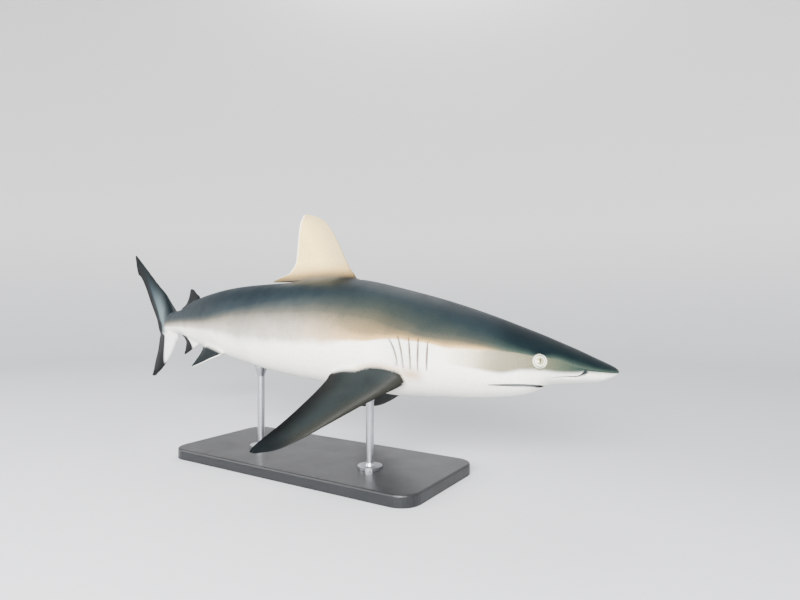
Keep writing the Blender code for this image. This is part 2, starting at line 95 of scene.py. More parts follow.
def smooth_line(knots: Sequence[float], values: Sequence[float]) -> Line:
    """Makes a curve through knots that never overshoots them.

    Args:
        knots: increasing positions.
        values: the value at each knot.

    Returns:
        A function of one number or of many.
    """
    x = np.array(knots, float)
    y = np.array(values, float)
    step = np.diff(x)
    slope = np.diff(y) / step
    before, after = 2 * step[1:] + step[:-1], step[1:] + 2 * step[:-1]
    same_way = slope[:-1] * slope[1:] > 0
    steep = np.where(same_way, slope[:-1], 1.0), np.where(same_way, slope[1:], 1.0)
    inner = np.where(same_way, (before + after) / (before / steep[0] + after / steep[1]), 0.0)
    tangent = np.concatenate([[slope[0]], inner, [slope[-1]]])

    def line(at: Array | float) -> Array:
        """Reads the curve.

        Args:
            at: positions. One that is past an end is taken to that end.

        Returns:
            The value at each position.
        """
        at = np.clip(np.asarray(at, float), x[0], x[-1])
        cell = np.clip(np.searchsorted(x, at, side="right") - 1, 0, len(step) - 1)
        t = (at - x[cell]) / step[cell]
        return (
            y[cell] * (1 + 2 * t) * (1 - t) ** 2
            + y[cell + 1] * t * t * (3 - 2 * t)
            + tangent[cell] * step[cell] * t * (1 - t) ** 2
            + tangent[cell + 1] * step[cell] * t * t * (t - 1)
        )

    return line


def knot_line(knots: Knots) -> Line:
    """Returns the smooth line through (position, value) pairs."""
    return smooth_line(*zip(*knots))


def ease(share: Array | float) -> Array:
    """Returns a soft step: 0 below 0, 1 above 1 and a smooth rise between."""
    share = np.clip(share, 0.0, 1.0)
    return share * share * (3 - 2 * share)


def between(at: Array, start: float, rise: float, end: float, fall: float) -> Array:
    """Returns a share that rises to 1 over a length from the start and is 0 again at the end."""
    return ease((at - start) / rise) * ease((end - at) / fall)


def hill(at: Array, top: float, reach: float, power: int = 2) -> Array:
    """Returns a share that is 1 at the top and falls away on both sides within the reach."""
    return np.exp(-(((at - top) / reach) ** power))


def unit(vectors: Array) -> Array:
    """Returns each row's direction."""
    return vectors / np.linalg.norm(vectors, axis=1)[:, None]


def round_ring(number: Array, around: int) -> Array:
    """Returns the angle of each point of a ring."""
    return number / around * 2 * math.pi


def closed_edge(turn: Array, soft: float) -> Array:
    """Returns the side of a thin section that each angle is on, drawn in softly to its two edges."""
    return np.sign(np.sin(turn)) * np.clip(np.abs(np.sin(turn)) / soft, 0, 1)


@dataclass
class SwimmingPose:
    """The bent axis of the body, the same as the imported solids'."""

    total_length: float = 1.5
    anchor_station: float = 0.37
    anchor_place: tuple[float, float, float] = (0.0, -0.03, 0.25)
    stations: tuple[float, ...] = (0.0, 0.2, 0.4, 0.6, 0.735, 1.0)
    headings: tuple[float, ...] = (-22.8, -10.0, 2.8, 14.2, 20.3, 10.6)
    pitches: tuple[float, ...] = (-4.9, -4.8, -3.1, 0.1, 3.2, 3.2)
    rolls: tuple[float, ...] = (0.9, 1.2, 2.0, 3.4, 4.6, 4.6)
    steps: int = 600
    coarse_steps: int = 100
    rounds: int = 6
    batch: int = 8000
    table: Array = field(init=False)
    fields: list[Array] = field(init=False)

    def __post_init__(self) -> None:
        """Works the axis outwards from its anchor."""
        station = np.linspace(0.0, 1.0, self.steps + 1)
        heading, pitch, roll = (
            np.radians(smooth_line(self.stations, angles)(station))
            for angles in (self.headings, self.pitches, self.rolls)
        )
        ahead = np.stack(
            [np.cos(heading) * np.cos(pitch), -np.sin(heading) * np.cos(pitch), np.sin(pitch)], axis=1
        )
        level_left = np.stack([np.sin(heading), np.cos(heading), np.zeros_like(heading)], axis=1)
        plumb_up = np.cross(ahead, level_left)
        up = plumb_up * np.cos(roll)[:, None] + level_left * np.sin(roll)[:, None]
        left = np.cross(up, ahead)
        middles = (ahead[1:] + ahead[:-1]) / 2 * (self.total_length / self.steps)
        point = np.vstack([np.zeros(3), -np.cumsum(middles, axis=0)])
        anchor = [np.interp(self.anchor_station, station, column) for column in point.T]
        self.table = station
        self.fields = [point - anchor + np.array(self.anchor_place), ahead, left, up]

    def along(self, s: Array | float) -> list[Array]:
        """Reads the axis.

        Args:
            s: one station or many.

        Returns:
            The axis points and the directions ahead, left and up, each with a row for each station.
        """
        s = np.atleast_1d(np.asarray(s, float))
        return [
            np.stack([np.interp(s, self.table, column) for column in vectors.T], axis=1)
            for vectors in self.fields
        ]

    def place(self, s: Array | float, y: Array | float, z: Array | float) -> Array:
        """Bends straight-shark places into the pose.

        Args:
            s: the station of each place.
            y: its sideways distance.
            z: its level.

        Returns:
            One row of three metres for each place.
        """
        s, y, z = np.broadcast_arrays(*(np.atleast_1d(np.asarray(part, float)) for part in (s, y, z)))
        point, _, left, up = self.along(s)
        return point + self.total_length * (left * y[:, None] + up * z[:, None])

    def straighten(self, points: Array) -> Array:
        """Finds the straight-shark places of real places.

        Args:
            points: one row of three metres for each place.

        Returns:
            One row of station, sideways distance and level for each place, in shares of the length.
        """
        coarse = np.linspace(0.0, 1.0, self.coarse_steps + 1)
        axis = self.place(coarse, 0.0, 0.0)
        nearest = np.concatenate(
            [
                np.argmin(((part[:, None, :] - axis[None]) ** 2).sum(2), axis=1)
                for part in np.array_split(points, max(1, len(points) // self.batch))
            ]
        )
        s = coarse[nearest]
        for _ in range(self.rounds):
            point, ahead, _, _ = self.along(s)
            s = np.clip(s - ((points - point) * ahead).sum(1) / self.total_length, 0.0, 1.0)
        point, _, left, up = self.along(s)
        offset = (points - point) / self.total_length
        return np.stack([s, (offset * left).sum(1), (offset * up).sum(1)], axis=1)


@dataclass
class BodyForm:
    """The plain form of the body and of the upper tail lobe that runs on from it, in shares of length."""

    profile: tuple[tuple[float, float, float, float], ...] = (
        (0.000, 0.0000, 0.0000, 0.0000),
        (0.008, 0.0060, -0.0068, 0.0140),
        (0.020, 0.0104, -0.0120, 0.0235),
        (0.050, 0.0213, -0.0168, 0.0360),
        (0.070, 0.0278, -0.0207, 0.0425),
        (0.078, 0.0305, -0.0272, 0.0450),
        (0.090, 0.0340, -0.0328, 0.0478),
        (0.130, 0.0454, -0.0418, 0.0550),
        (0.180, 0.0571, -0.0480, 0.0600),
        (0.240, 0.0673, -0.0540, 0.0630),
        (0.300, 0.0742, -0.0535, 0.0625),
        (0.400, 0.0643, -0.0511, 0.0560),
        (0.500, 0.0560, -0.0430, 0.0430),
        (0.620, 0.0385, -0.0274, 0.0250),
        (0.700, 0.0215, -0.0155, 0.0160),
        (0.760, 0.0219, -0.0172, 0.0125),
    )
    snout_flatness: float = 0.6
    flat_snout_ends: float = 0.12
    widest_level: float = 0.47
    peduncle_ends: float = 0.745
    soft_back: float = 0.012
    soft_belly: float = 0.004
    fine_step: float = 0.0008
    blur_reach: int = 4
    end_run: int = 7
    least: float = 1e-4
    back: Line = field(init=False)
    belly: Line = field(init=False)
    width: Line = field(init=False)

    def __post_init__(self) -> None:
        """Makes the three outlines, each smooth in the square root of the station."""
        station, back, belly, width = np.array(self.profile).T
        root = np.sqrt(station)
        self.back = self._softened(smooth_line(root, back), root[-1], self.soft_back)
        self.belly = self._softened(smooth_line(root, belly), root[-1], self.soft_belly)
        self.width = self._softened(smooth_line(root, width), root[-1], self.soft_back)

    def _softened(self, line: Line, end: float, blur: float) -> Line:
        """Evens out the changes of curvature at a line's knots.

        Args:
            line: the outline, as a function of the root of the station.
            end: the root of the last station.
            blur: how far the evening reaches, in roots.

        Returns:
            The softened outline, as a function of the station.
        """
        fine, run = self.fine_step, self.end_run
        x = np.arange(0.0, end + fine, fine)
        y = line(x)
        reach = int(self.blur_reach * blur / fine)
        slope = (y[-1] - y[-1 - run]) / (run * fine)
        tail = y[-1] + slope * fine * np.arange(1, reach + 1)
        padded = np.concatenate([-y[1 : reach + 1][::-1], y, tail])
        weight = np.exp(-0.5 * (np.arange(-reach, reach + 1) * fine / blur) ** 2)
        soft = np.convolve(padded, weight / weight.sum(), mode="valid")
        return lambda s: np.interp(np.sqrt(np.maximum(s, 0.0)), x, soft)

    def flatness(self, s: Array) -> Array:
        """Returns how much the underside is flattened at each station."""
        return self.snout_flatness * np.maximum(0.0, 1 - s / self.flat_snout_ends)

    def levels(self, s: Array) -> tuple[Array, Array, Array]:
        """Returns the levels of the belly, of the widest line and of the back."""
        low, high = self.belly(s), self.back(s)
        return low, low + self.widest_level * (high - low), high

    def middle(self, s: Array) -> Array:
        """Returns the level halfway between back and belly."""
        return (self.back(s) + self.belly(s)) / 2

    def section(self, s: Array, turn: Array) -> tuple[Array, Array]:
        """Gives the body's outline round its sections.

        Args:
            s: the station of each point.
            turn: the angle of each point, from the left over the back.

        Returns:
            The sideways distance and the level of each point.
        """
        low, widest, high = self.levels(s)
        rise = np.sin(turn)
        under = -(np.abs(rise) ** (1 / (1 + self.flatness(s))))
        level = np.where(rise >= 0, widest + (high - widest) * rise, widest + (widest - low) * under)
        return self.width(s) * np.cos(turn), level

    def turn_at(self, s: Array, level: Array, side: Side) -> Array:
        """Finds where on a section the flank has a level.

        Args:
            s: the station of each point.
            level: its level.
            side: the flank it is on.

        Returns:
            The angle of each point round its section.
        """
        low, widest, high = self.levels(s)
        over = np.clip((level - widest) / (high - widest), 0.0, 1.0)
        under = np.clip((widest - level) / (widest - low), 0.0, 1.0) ** (1 + self.flatness(s))
        turn = np.where(level >= widest, np.arcsin(over), -np.arcsin(under))
        return turn if side is Side.LEFT else math.pi - turn

    def depth_outside(self, s: Array, y: Array, z: Array) -> Array:
        """Measures how far places are outside the plain body.

        Args:
            s: the station of each place.
            y: its sideways distance.
            z: its level.

        Returns:
            About how far out each place is, less than 0 inside.
        """
        low, widest, high = self.levels(s)
        wide = np.maximum(self.width(s), self.least)
        tall = np.where(z >= widest, high - widest, widest - low)
        ratio = np.sqrt((y / wide) ** 2 + ((z - widest) / np.maximum(tall, self.least)) ** 2)
        return (ratio - 1) * np.minimum(wide, tall)


@dataclass(frozen=True)
class GillSlits:
    """The five slits on each side: station of the foot, lean of the top, foot level, top level."""

    slits: tuple[tuple[float, float, float, float], ...] = (
        (0.1829, 0.0009, -0.0155, 0.0150),
        (0.1917, 0.0019, -0.0165, 0.0180),
        (0.1990, 0.0045, -0.0168, 0.0180),
        (0.2064, 0.0085, -0.0165, 0.0180),
        (0.2123, 0.0112, -0.0145, 0.0145),
    )
    flap_rise: float = 0.0005
    flap_length: float = 0.0045
    width: float = 0.0019
    lip: float = 0.0010
    lip_soft: float = 1.5
    depth: float = 0.0075
    lean_forward: float = 0.55
    fade: float = 0.22
    faded_at_end: float = 0.35
    run_on: float = 0.2
    path_steps: int = 24
    tip_share: float = 0.03

    def _near(self, s: Array, z: Array) -> Iterator[tuple[Array, Array]]:
        """Compares places with each slit in turn.

        Args:
            s: the station of each place.
            z: its level.

        Returns:
            For each slit, how level each place is with it and how far off its line it is.
        """
        for foot, lean, low, high in self.slits:
            t = (z - low) / (high - low)
            level = ease(t / self.fade + self.faded_at_end) * ease((1 - t) / self.fade + self.faded_at_end)
            yield level, np.abs(s - (foot + lean * np.clip(t, -self.run_on, 1 + self.run_on) ** 2))

    def relief(self, s: Array, z: Array) -> Array:
        """Returns how far each place stands out: the skin rises softly to both lips of a slit."""
        near = self._near(s, z)
        return sum(level * self.flap_rise * np.exp(-off / self.flap_length) for level, off in near)

    def lips(self, s: Array, z: Array) -> Array:
        """Returns how much of a slit's dark lips shows at each place: partly the lips' own brown, partly
        painted shade of the slit.
        """
        return sum(level * ease(self.lip_soft - off / self.lip) for level, off in self._near(s, z))


@dataclass(frozen=True)
class Mouth:
    """The nearly closed mouth under the snout: a gap over the lower jaw that narrows to its corners."""

    front: float = 0.0722
    corner: float = 0.1275
    jaw_level: float = -0.0226
    corner_drop: float = 0.0008
    lip: float = 0.0005
    jaw_set_back: float = 0.0004
    lip_reach: float = 0.0040
    lips_start: float = 0.076
    lips_rise: float = 0.012
    lips_run_on: float = 0.006
    lips_fall: float = 0.016
    upper_crest: float = 0.5
    jaw_hollow: float = 0.6
    jaw_spread: float = 0.8
    past_corner: float = 1.2
    path_steps: int = 60
    depth: float = 0.0060
    gap: Knots = (
        (0.0722, 0.0012), (0.0748, 0.0030), (0.0790, 0.0046), (0.0860, 0.0054),
        (0.0940, 0.0049), (0.1140, 0.0024), (0.1240, 0.0009), (0.1275, 0.0003),
    )

    def gap_at(self, s: Array) -> Array:
        """Returns how far the lips are apart at each station."""
        return knot_line(self.gap)(s)

    def level_at(self, s: Array) -> Array:
        """Returns the level of the middle of the gap at each station."""
        share = np.clip((s - self.front) / (self.corner - self.front), 0.0, self.past_corner)
        return self.jaw_level - self.corner_drop * share**3 + self.gap_at(s) / 2

    def relief(self, s: Array, z: Array) -> Array:
        """Shapes the lips: the upper one stands out over the line and the jaw is set back below it.

        Args:
            s: the station of each place.
            z: its level.

        Returns:
            How far each place stands out.
        """
        off = (z - self.level_at(s)) / self.lip_reach
        along = between(s, self.lips_start, self.lips_rise, self.corner + self.lips_run_on, self.lips_fall)
        upper = self.lip * np.exp(-((off - self.upper_crest) ** 2)) * (off > -1)
        lower = -self.jaw_set_back * np.exp(-((off + self.jaw_hollow) ** 2) * self.jaw_spread)
        return along * (upper * ease(off + 0.5) + lower * ease(0.5 - off))


@dataclass(frozen=True)
class EyePlace:
    """Where an eye sits and how big it is."""

    station: float = 0.0792
    level: float = 0.0059
    opening_radius: float = 0.0056
    ball_radius: float = 0.0125
    orbit_rise: float = 0.0010
    orbit_reach: float = 0.0150

    def relief(self, s: Array, z: Array) -> Array:
        """Returns the soft swelling of the orbit round the eye."""
        away = np.hypot(s - self.station, z - self.level) / self.orbit_reach
        return self.orbit_rise * np.exp(-(away**2))


@dataclass(frozen=True)
class Nostril:
    """The nostril under the side of the snout: a curved slot with a flap of skin behind its middle."""

    path: tuple[tuple[float, float], ...] = (
        (0.0338, 0.0012), (0.0366, -0.0022), (0.0406, -0.0056), (0.0455, -0.0068), (0.0510, -0.0070),
        (0.0570, -0.0080), (0.0630, -0.0094), (0.0690, -0.0106),
    )
    width: float = 0.0048
    depth: float = 0.0080
    flap_place: tuple[float, float] = (0.0480, -0.0082)
    flap_rise: float = 0.0009
    flap_reach: float = 0.0040
    flap_stretch: float = 0.6
    path_steps: int = 20
    rear_narrowing: float = 0.45

    def relief(self, s: Array, z: Array) -> Array:
        """Returns the rise of the flap of skin beside the slot."""
        along, level = (s - self.flap_place[0]) * self.flap_stretch, z - self.flap_place[1]
        return self.flap_rise * np.exp(-((np.hypot(along, level) / self.flap_reach) ** 2))


@dataclass(frozen=True)
class FinPlan:
    """The outline of a fin: distance out, then place of its front edge and of its rear edge."""

    front: Knots
    rear: Knots
    thickness: float
    first_row: float
    root_flare: float
    flare_reach: float
    rings: int
    around: int

    def edges(self, row: Array) -> tuple[Array, Array]:
        """Returns the places of the front and rear edge at each distance out."""
        return knot_line(self.front)(row), knot_line(self.rear)(row)

    @property
    def span(self) -> float:
        """How far the fin reaches out."""
        return self.front[-1][0]

    def rows(self) -> Array:
        """Spaces the fin's rings, close together at its root and at its tip.

        Returns:
            The distance out of each ring.
        """
        over_fillet = 0.012 if self.span > 0.05 else 0.005
        shares = (0.0, 0.10, 0.32, 0.80, 0.95, 1.0)
        places = (self.first_row, -0.0015, over_fillet, 0.80 * self.span, 0.975 * self.span, self.span)
        return smooth_line(shares, places)(np.linspace(0.0, 1.0, self.rings + 1))


FIRST_DORSAL = FinPlan(
    front=((-0.012, 0.3020), (0.0, 0.2992), (0.0106, 0.3088), (0.0306, 0.3222), (0.0584, 0.3397),
           (0.0776, 0.3602), (0.0857, 0.3812)),
    rear=((-0.012, 0.3850), (0.0, 0.3890), (0.0025, 0.4370), (0.0128, 0.4059), (0.0279, 0.3955),
          (0.0541, 0.3946), (0.0745, 0.3932), (0.0857, 0.3872)),
    thickness=0.0130, first_row=-0.012, root_flare=0.0050, flare_reach=0.0050, rings=58, around=72,
)
SECOND_DORSAL = FinPlan(
    front=((-0.010, 0.6250), (0.0, 0.6229), (0.0150, 0.6420), (0.0250, 0.6560), (0.0278, 0.6640)),
    rear=((-0.010, 0.6530), (0.0, 0.6590), (0.0022, 0.7060), (0.0068, 0.6850), (0.0168, 0.6715),
          (0.0278, 0.6670)),
    thickness=0.0050, first_row=-0.010, root_flare=0.0022, flare_reach=0.0030, rings=36, around=48,
)
ANAL = FinPlan(
    front=((-0.010, 0.6220), (0.0, 0.6181), (0.0127, 0.6380), (0.0260, 0.6610), (0.0319, 0.6745)),
    rear=((-0.010, 0.6520), (0.0, 0.6580), (0.0025, 0.6945), (0.0070, 0.6800), (0.0127, 0.6720),
          (0.0220, 0.6735), (0.0319, 0.6780)),
    thickness=0.0052, first_row=-0.010, root_flare=0.0022, flare_reach=0.0030, rings=36, around=48,
)
PECTORAL = FinPlan(
    front=((-0.030, -0.0040), (-0.010, -0.0110), (0.0, -0.0050), (0.0181, 0.0155), (0.0356, 0.0365),
           (0.0607, 0.0642), (0.0837, 0.0908), (0.0970, 0.1120), (0.1028, 0.1330)),
    rear=((-0.030, 0.0400), (-0.0115, 0.0530), (-0.0085, 0.0700), (-0.0054, 0.0883), (0.0045, 0.0893),
          (0.0157, 0.0932), (0.0318, 0.1007), (0.0537, 0.1123), (0.0735, 0.1244), (0.0878, 0.1342),
          (0.0980, 0.1395), (0.1028, 0.1400)),
    thickness=0.0165, first_row=-0.030, root_flare=0.0040, flare_reach=0.0070, rings=64, around=80,
)
PELVIC = FinPlan(
    front=((-0.016, 0.0040), (0.0, 0.0000), (0.0150, 0.0210), (0.0260, 0.0380), (0.0310, 0.0460)),
    rear=((-0.016, 0.0300), (-0.0085, 0.0360), (-0.0065, 0.0650), (0.0020, 0.0560), (0.0120, 0.0525),
          (0.0230, 0.0510), (0.0310, 0.0500)),
    thickness=0.0070, first_row=-0.016, root_flare=0.0026, flare_reach=0.0040, rings=40, around=56,
)


@dataclass(frozen=True)
class TailFin:
    """The two lobes of the tail fin, in the plane of the midline: (station, level) outlines."""

    upper_front: Knots = (
        (0.745, 0.0220), (0.770, 0.0365), (0.801, 0.0545), (0.8565, 0.0793), (0.9217, 0.1140),
        (0.9700, 0.1420), (0.9790, 0.1468),
    )
    upper_rear: Knots = (
        (0.745, -0.0150), (0.8170, -0.0150), (0.8441, 0.0107), (0.8856, 0.0451), (0.9205, 0.0784),
        (0.9440, 0.0975), (0.9500, 0.1010), (0.9570, 0.1035), (0.9680, 0.1180), (0.9790, 0.1440),
    )
    lower_front: Knots = (
        (0.0, 0.7180), (0.0202, 0.7345), (0.0417, 0.7610), (0.0589, 0.7920), (0.0766, 0.8390),
    )
    lower_rear: Knots = ((0.0, 0.8175), (0.0293, 0.8259), (0.0556, 0.8395), (0.0766, 0.8450))
    parts_at: float = -0.0150
    root_half: float = 0.0125
    tip_half: float = 0.0010
    thins_over: float = 0.075
    thin_edge: float = 0.00027
    root_place: tuple[float, float] = (0.745, 0.003)
    bare_rear: float = 0.8165
    corner_blend: float = 0.006
    outline_points: int = 90
    root_thinning: float = 22.0
    least_chord: float = 1e-6
    lower_rings: int = 44
    lower_around: int = 64
    lower_rows: Knots = ((0.0, -0.014), (0.15, 0.0), (0.9, 0.073), (1.0, 0.0766))
    lower_buried: Knots = ((-0.014, 0.742), (-0.014, 0.795))
    lower_edge: float = 0.12
    upper_edge: float = 0.16
    hidden_rear: float = 0.012
    hidden_span: tuple[float, float, float, float] = (0.735, 0.02, 0.815, 0.02)
    flattens_over: float = 0.05

    def _outline(self, knots: Knots, hanging: bool) -> Array:
        """Draws one outline.

        Args:
            knots: its knots, by station or by distance below the parting.
            hanging: whether they go by the distance below the parting.

        Returns:
            Many points along it, one row of station and level for each.
        """
        at = np.linspace(knots[0][0], knots[-1][0], self.outline_points)
        value = knot_line(knots)(at)
        return np.stack([value, self.parts_at - at] if hanging else [at, value], axis=1)

    def distances(self, s: Array, z: Array) -> tuple[Array, Array]:
        """Measures how far places are from the fin's edges.

        Args:
            s: the station of each place.
            z: its level.

        Returns:
            The distance of each place from the front edges, and from the rear edges.
        """
        places = np.stack([s, z], axis=1)
        rear_up = self._outline(self.upper_rear, False)
        fronts = (self._outline(self.upper_front, False), self._outline(self.lower_front, True))
        rears = (rear_up[rear_up[:, 0] >= self.bare_rear], self._outline(self.lower_rear, True))
        blend, found = self.corner_blend, []
        for lines in (fronts, rears):
            near = [np.sqrt(((places[:, None] - line[None]) ** 2).sum(2).min(1)) for line in lines]
            found.append(-blend * np.log(np.exp(-near[0] / blend) + np.exp(-near[1] / blend)))
        return np.maximum(found[0], 0.0), np.maximum(found[1], 0.0)

    def thinned(self, z: Array) -> Array:
        """Returns how much of its thickness the fin keeps at each level, less below the parting."""
        return 1 - self.root_thinning * np.maximum(0.0, self.parts_at - z)

    def half_thickness(self, s: Array, z: Array) -> Array:
        """Measures the fin's thickness.

        Args:
            s: the station of each place in the fin's plane.
            z: its level.

        Returns:
            Half the thickness at each place.
        """
        front, rear = self.distances(s, z)
        chord = np.clip(front / (front + rear + self.least_chord), 0.0, 1.0)
        away = np.hypot(s - self.root_place[0], z - self.root_place[1])
        half = self.tip_half + (self.root_half - self.tip_half) * np.exp(-away / self.thins_over)
        return np.maximum(half * foil(chord), self.thin_edge)


def foil(chord: Array) -> Array:
    """Returns the half thickness of a fin's section along its chord, as a share of the greatest."""
    root = np.sqrt(np.maximum(chord, 0.0))
    return 2.969 * root - 1.26 * chord - 3.516 * chord**2 + 2.843 * chord**3 - 1.015 * chord**4


class Shop:
    """Small steps of modelling by hand that every piece uses."""

    @staticmethod
    def put_down_all() -> None:
        """Deselects everything, so that the next operator acts on its own piece only."""
        bpy.ops.object.select_all(action="DESELECT")

    @staticmethod
    def pick(piece: Piece) -> None:
        """Selects one piece and makes it the active one.

        Args:
            piece: the piece that the next operators work on.
        """
        Shop.put_down_all()
        piece.select_set(True)
        bpy.context.view_layer.objects.active = piece

    @staticmethod
    def ball(rings: int, around: int) -> tuple[Array, Array]:
        """Adds a ball that is to be moulded, ring by ring, onto another closed shape.

        Args:
            rings: how many steps there are from one pole to the other.
            around: how many points each ring has.

        Returns:
            The number of each point's ring, and its number round the ring.
        """
        Shop.put_down_all()
        bpy.ops.mesh.primitive_uv_sphere_add(segments=around, ring_count=rings, radius=1.0)
        co = Shop.points(bpy.context.active_object)
        ring = np.rint(np.arccos(np.clip(co[:, 2], -1, 1)) / math.pi * rings).astype(int)
        number = np.rint(np.arctan2(co[:, 1], co[:, 0]) / (2 * math.pi) * around).astype(int) % around
        return ring, number

    @staticmethod
    def moulded(name: str, co: Array) -> Piece:
        """Names the new primitive and moves its points onto its real shape.

        Args:
            name: the piece's name.
            co: the place of each point.

        Returns:
            The piece, its faces turned outwards.
        """
        piece = bpy.context.active_object
        piece.name = piece.data.name = name
        Shop.set_points(piece, co)
        while piece.data.uv_layers:
            piece.data.uv_layers.remove(piece.data.uv_layers[0])
        Shop.pick(piece)
        bpy.ops.object.mode_set(mode="EDIT")
        bpy.ops.mesh.select_all(action="SELECT")
        bpy.ops.mesh.normals_make_consistent(inside=False)
        bpy.ops.object.mode_set(mode="OBJECT")
        return piece

    @staticmethod
    def read(rows: bpy.types.bpy_prop_collection, key: str, kind: type = np.int32, width: int = 1) -> Array:
        """Reads one property of all the points, edges, faces or corners of a mesh.

        Args:
            rows: the points, edges, faces or corners.
            key: the property's name.
            kind: the kind of number it holds.
            width: how many numbers it has for each.

        Returns:
            The numbers, in rows where there is more than one for each.
        """
        found = np.empty(len(rows) * width, kind)
        rows.foreach_get(key, found)
        return found.reshape(-1, width) if width > 1 else found

    @staticmethod
    def points(piece: Piece) -> Array:
        """Returns the places of a piece's vertices."""
        return Shop.read(piece.data.vertices, "co", np.float64, 3)

    @staticmethod
    def set_points(piece: Piece, co: Array) -> None:
        """Moves a piece's vertices to these places."""
        piece.data.vertices.foreach_set("co", np.ascontiguousarray(co, np.float32).ravel())
        piece.data.update()

    @staticmethod
    def set_place(piece: Piece) -> None:
        """Puts a piece's place, turn and size into its mesh."""
        Shop.pick(piece)
        bpy.ops.object.transform_apply(location=True, rotation=True, scale=True)

    @staticmethod
    def combine(piece: Piece, others: list[Piece], way: Joining) -> None:
        """Joins others to a piece, or cuts them from it, and removes them.

        Args:
            piece: the piece that stays.
            others: the pieces that are used up.
            way: whether they are grown together or cut out.
        """
        group = bpy.data.collections.new(f"{way.name.lower()}_group")
        bpy.context.scene.collection.children.link(group)
        for other in others:
            group.objects.link(other)
        step = piece.modifiers.new(way.name.lower(), "BOOLEAN")
        step.operation = way.value
        step.operand_type = "COLLECTION"
        step.collection = group
        step.solver = "MANIFOLD"
        step.material_mode = "TRANSFER"
        Shop.pick(piece)
        bpy.ops.object.modifier_apply(modifier=step.name)
        for other in others:
            bpy.data.objects.remove(other, do_unlink=True)
        bpy.data.collections.remove(group)

    @staticmethod
    def keep_attribute(piece: Piece, name: str, *columns: Array) -> None:
        """Stores three numbers for each vertex under a name that materials read."""
        layer = piece.data.attributes.new(name, "FLOAT_VECTOR", "POINT")
        layer.data.foreach_set("vector", np.stack(columns, axis=1).astype(np.float32).ravel())


Feed = Socket | Tint | float | None


def tint(red: int, green: int, blue: int) -> tuple[float, float, float, float]:
    """Returns a paint colour, given in steps of 255 as seen, as the linear light a shader takes."""
    return (*(((c / 255 + 0.055) / 1.055) ** 2.4 if c > 10 else c / 3294.6 for c in (red, green, blue)), 1.0)


@dataclass(frozen=True)
class Fade:
    """A colour, and the numbers of a mark between which it gives way or comes in."""

    colour: Tint
    start: float
    end: float
    most: float = 1.0


